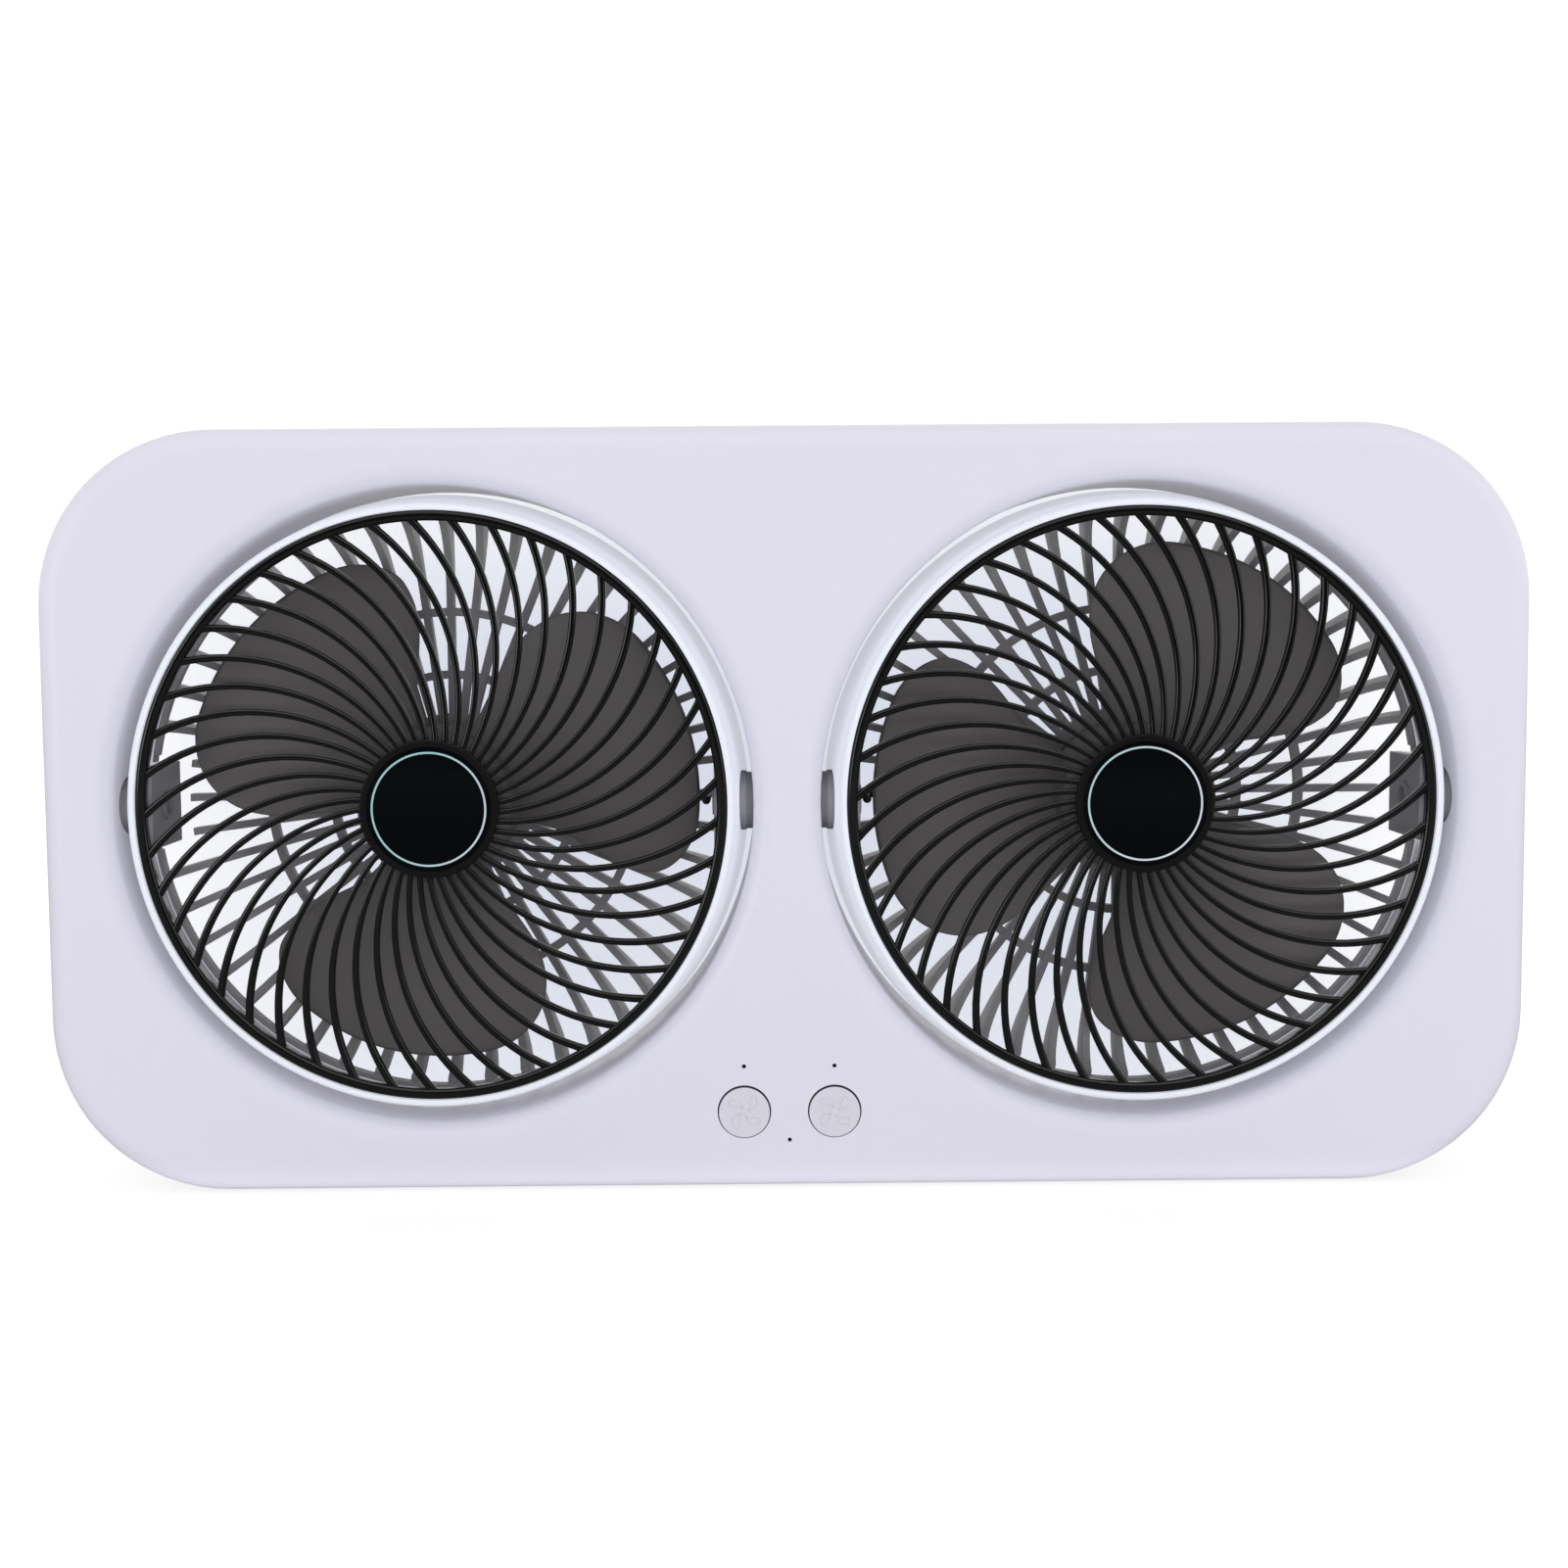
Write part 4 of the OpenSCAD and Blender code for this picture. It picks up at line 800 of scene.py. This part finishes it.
def lathe(bm, outline, steps=128):
    rings = []
    for radius, height in outline:
        if radius < 1e-6:
            rings.append([bm.verts.new((0, 0, height * mm))])
            continue
        rings.append([bm.verts.new((radius * mm * math.cos(2 * math.pi * k / steps),
                                    radius * mm * math.sin(2 * math.pi * k / steps), height * mm))
                      for k in range(steps)])
    for a, b in zip(rings, rings[1:] + rings[:1]):
        for k in range(steps):
            corners = [a[k % len(a)], b[k % len(b)], b[(k + 1) % len(b)], a[(k + 1) % len(a)]]
            corners = list(dict.fromkeys(corners))
            if len(corners) > 2:
                bm.faces.new(corners)


def corner(cx, cy, radius, fromDeg, toDeg, steps=6):
    points = []
    for k in range(steps + 1):
        turn = math.radians(fromDeg + (toDeg - fromDeg) * k / steps)
        points.append((cx + radius * math.cos(turn), cy + radius * math.sin(turn)))
    return points


def cupMesh():
    bm = bmesh.new()
    r, f, b, e = rotor["cupRadius"], rotor["cupFront"], rotor["cupBack"], rotor["cupRound"]
    inner = r - rotor["cupWall"]
    boss, bore, low = rotor["bossRadius"], rotor["boreRadius"], rotor["bossBack"]
    skin, ceiling = f - rotor["frontSkin"], f - rotor["cupWall"]
    outline = [(r, b), *corner(r - e, f - e, e, 0, 90), (0, f), (0, skin), (bore, skin), (bore, low),
               (boss, low), (boss, ceiling), (inner, ceiling), (inner, b)]
    lathe(bm, outline)
    bmesh.ops.recalc_face_normals(bm, faces=bm.faces)
    return bm


def rotorTree():
    tree, ids, given = startTree("bladesRound", {"Blades": "Int", "Turn": "Float", "Head axis": "Vector",
                                                 "Finish": "Material"})
    blades = copiesRound(tree, given["Geometry"], given["Blades"], given["Turn"])
    endTree(tree, blades, given)
    return tree, ids


def addRotors():
    tree, ids = rotorTree()
    for side in sides:
        values = {"Blades": rotor["blades"], "Turn": bladeTurn[side], "Head axis": headAxis[side],
                  "Finish": materials["rotor_grey"]}
        piece = grow(side + "PetalRotor", tree, ids, values, base=bladeMesh())
        bm = cupMesh()
        bm.transform(Matrix.Translation(headAxis[side]) @ uprightTurn)
        bm.from_mesh(piece.data)
        bm.to_mesh(piece.data)
        bm.free()
        smoothMesh(piece.data)
        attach(piece, side + "_rotor")
        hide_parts(side + "_fan_rotor")
    print("rotors:", rotor["blades"], "blades each")


addRotors()


# Deep fins of the rear guard, from each rib's inner face to a rounder bowl

guardFin = {"count": 48, "width": 1.76, "cornerX": 59.6, "cornerZ": -11, "cornerRadius": 9.1,
            "bowlX": 48.6, "bowlZ": 0, "bowlRadius": 20, "topZ": -7.2, "plateDeg": 10, "steps": 9}


def finOutline():
    fin = guardFin
    topDeg = math.degrees(math.asin((fin["topZ"] - fin["bowlZ"]) / fin["bowlRadius"]))
    outer = corner(fin["cornerX"], fin["cornerZ"], fin["cornerRadius"], -90, 0, fin["steps"])
    inner = corner(fin["bowlX"], fin["bowlZ"], fin["bowlRadius"], topDeg, -90, fin["steps"])
    return [*outer, (fin["cornerX"] + fin["cornerRadius"], fin["topZ"]), *inner]


def finMesh():
    bm = bmesh.new()
    half = guardFin["width"] / 2
    flanks = [[bm.verts.new((x * mm, y * mm, z * mm)) for x, z in finOutline()] for y in (-half, half)]
    for a in range(len(flanks[0])):
        b = (a + 1) % len(flanks[0])
        bm.faces.new([flanks[0][a], flanks[0][b], flanks[1][b], flanks[1][a]])
    for flank in flanks:
        bm.faces.new(flank)
    bmesh.ops.recalc_face_normals(bm, faces=bm.faces)
    mesh = bpy.data.meshes.new("guardFin")
    bm.to_mesh(mesh)
    bm.free()
    return mesh


def finTree():
    tree, ids, given = startTree("finsRound", {"Fins": "Int", "Plate angle": "Float", "Head axis": "Vector",
                                               "Finish": "Material"})
    fins = copiesRound(tree, given["Geometry"], given["Fins"], 0.0, given["Plate angle"])
    endTree(tree, fins, given)
    return tree, ids


def addFins():
    tree, ids = finTree()
    for side in sides:
        values = {"Fins": guardFin["count"], "Plate angle": math.radians(guardFin["plateDeg"]),
                  "Head axis": headAxis[side], "Finish": materials["guard_grey"]}
        piece = grow(side + "GuardFins", tree, ids, values, base=finMesh())
        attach(piece, side + "_head")
    print("guard fins:", guardFin["count"], "places each")


addFins()


# Collars on the pivots, next to the heads

# painted light: the collars take a lighter grey than the pivots, for the light that falls on them
collar = {"radius": 6.95, "boreRadius": 6.4, "from": 66.6, "to": 71.7, "chamfer": 0.25, "steps": 64,
          "color": (0.37, 0.363, 0.39)}


def addCollars():
    # painted light: a lit, lighter copy of the pivots' grey
    finish = plasticMaterial("collar_lit_grey", {**plasticLooks["pivot_grey"], "color": collar["color"]})
    a, b, c, r = collar["from"], collar["to"], collar["chamfer"], collar["radius"]
    bore = collar["boreRadius"]
    outline = [(bore, a), (r - c, a), (r, a + c), (r, b - c), (r - c, b), (bore, b)]
    for side in sides:
        for way in (-1, 1):
            bm = bmesh.new()
            lathe(bm, outline, collar["steps"])
            where = "Outer" if (way < 0) == (side == "left") else "Inner"
            place = Matrix.Translation(headAxis[side]) @ Matrix.Rotation(way * math.pi / 2, 4, "Y")
            piece = pieceFrom(bm, side + where + "Collar", finish, place)
            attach(piece, "frame")
    print("pivot collars: 4")


addCollars()


# Raised fan symbols on the two buttons

symbol = {"petals": 4, "rootRadius": 0.7, "tipRadius": 4.3, "spanDeg": 46, "sweepDeg": 34, "height": 0.3,
          "foot": 0.03, "chamfer": 0.15, "fullness": 0.6, "steps": 14, "turnDeg": {"left": 24, "right": 17}}


def petalOutline(inset):
    start = symbol["rootRadius"] + inset
    reach = symbol["tipRadius"] - symbol["rootRadius"] - 2 * inset
    points = []
    for end in (-1, 1):
        for k in range(symbol["steps"] + 1):
            share = k / symbol["steps"] if end < 0 else 1 - k / symbol["steps"]
            radius = start + reach * share
            half = symbol["spanDeg"] / 2 * math.sin(math.pi * share) ** symbol["fullness"]
            half *= 0.5 + 0.5 * share  # fuller towards the tip
            half = max(0.0, half - math.degrees(inset / radius))
            angle = math.radians(symbol["sweepDeg"] * share + end * half)
            points.append((radius * math.cos(angle), radius * math.sin(angle)))
    return points


def petalMesh():
    bm = bmesh.new()
    rings = []
    for inset, height in ((0, -symbol["foot"]), (0, 0), (symbol["chamfer"], symbol["height"])):
        rings.append([bm.verts.new((x * mm, y * mm, height * mm)) for x, y in petalOutline(inset)])
    for low, high in zip(rings, rings[1:]):
        for k in range(len(low)):
            m = (k + 1) % len(low)
            bm.faces.new([low[k], low[m], high[m], high[k]])
    bm.faces.new(rings[-1])
    bm.faces.new(rings[0][::-1])
    bmesh.ops.remove_doubles(bm, verts=bm.verts, dist=1e-8)
    bmesh.ops.dissolve_degenerate(bm, edges=bm.edges, dist=1e-8)
    bmesh.ops.recalc_face_normals(bm, faces=bm.faces)
    mesh = bpy.data.meshes.new("symbolPetal")
    bm.to_mesh(mesh)
    bm.free()
    return mesh


def addSymbols():
    tree, ids = rotorTree()
    for side in sides:
        low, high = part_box(side + "_button_cap")
        middle = Vector(((low[0] + high[0]) / 2, low[1], (low[2] + high[2]) / 2))
        values = {"Blades": symbol["petals"], "Turn": math.radians(symbol["turnDeg"][side]),
                  "Head axis": middle, "Finish": materials["button_white"]}
        piece = grow(side + "ButtonSymbol", tree, ids, values, base=petalMesh(), sharpDeg=20)
        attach(piece, side + "_button")
    print("button symbols:", symbol["petals"], "petals each")


addSymbols()
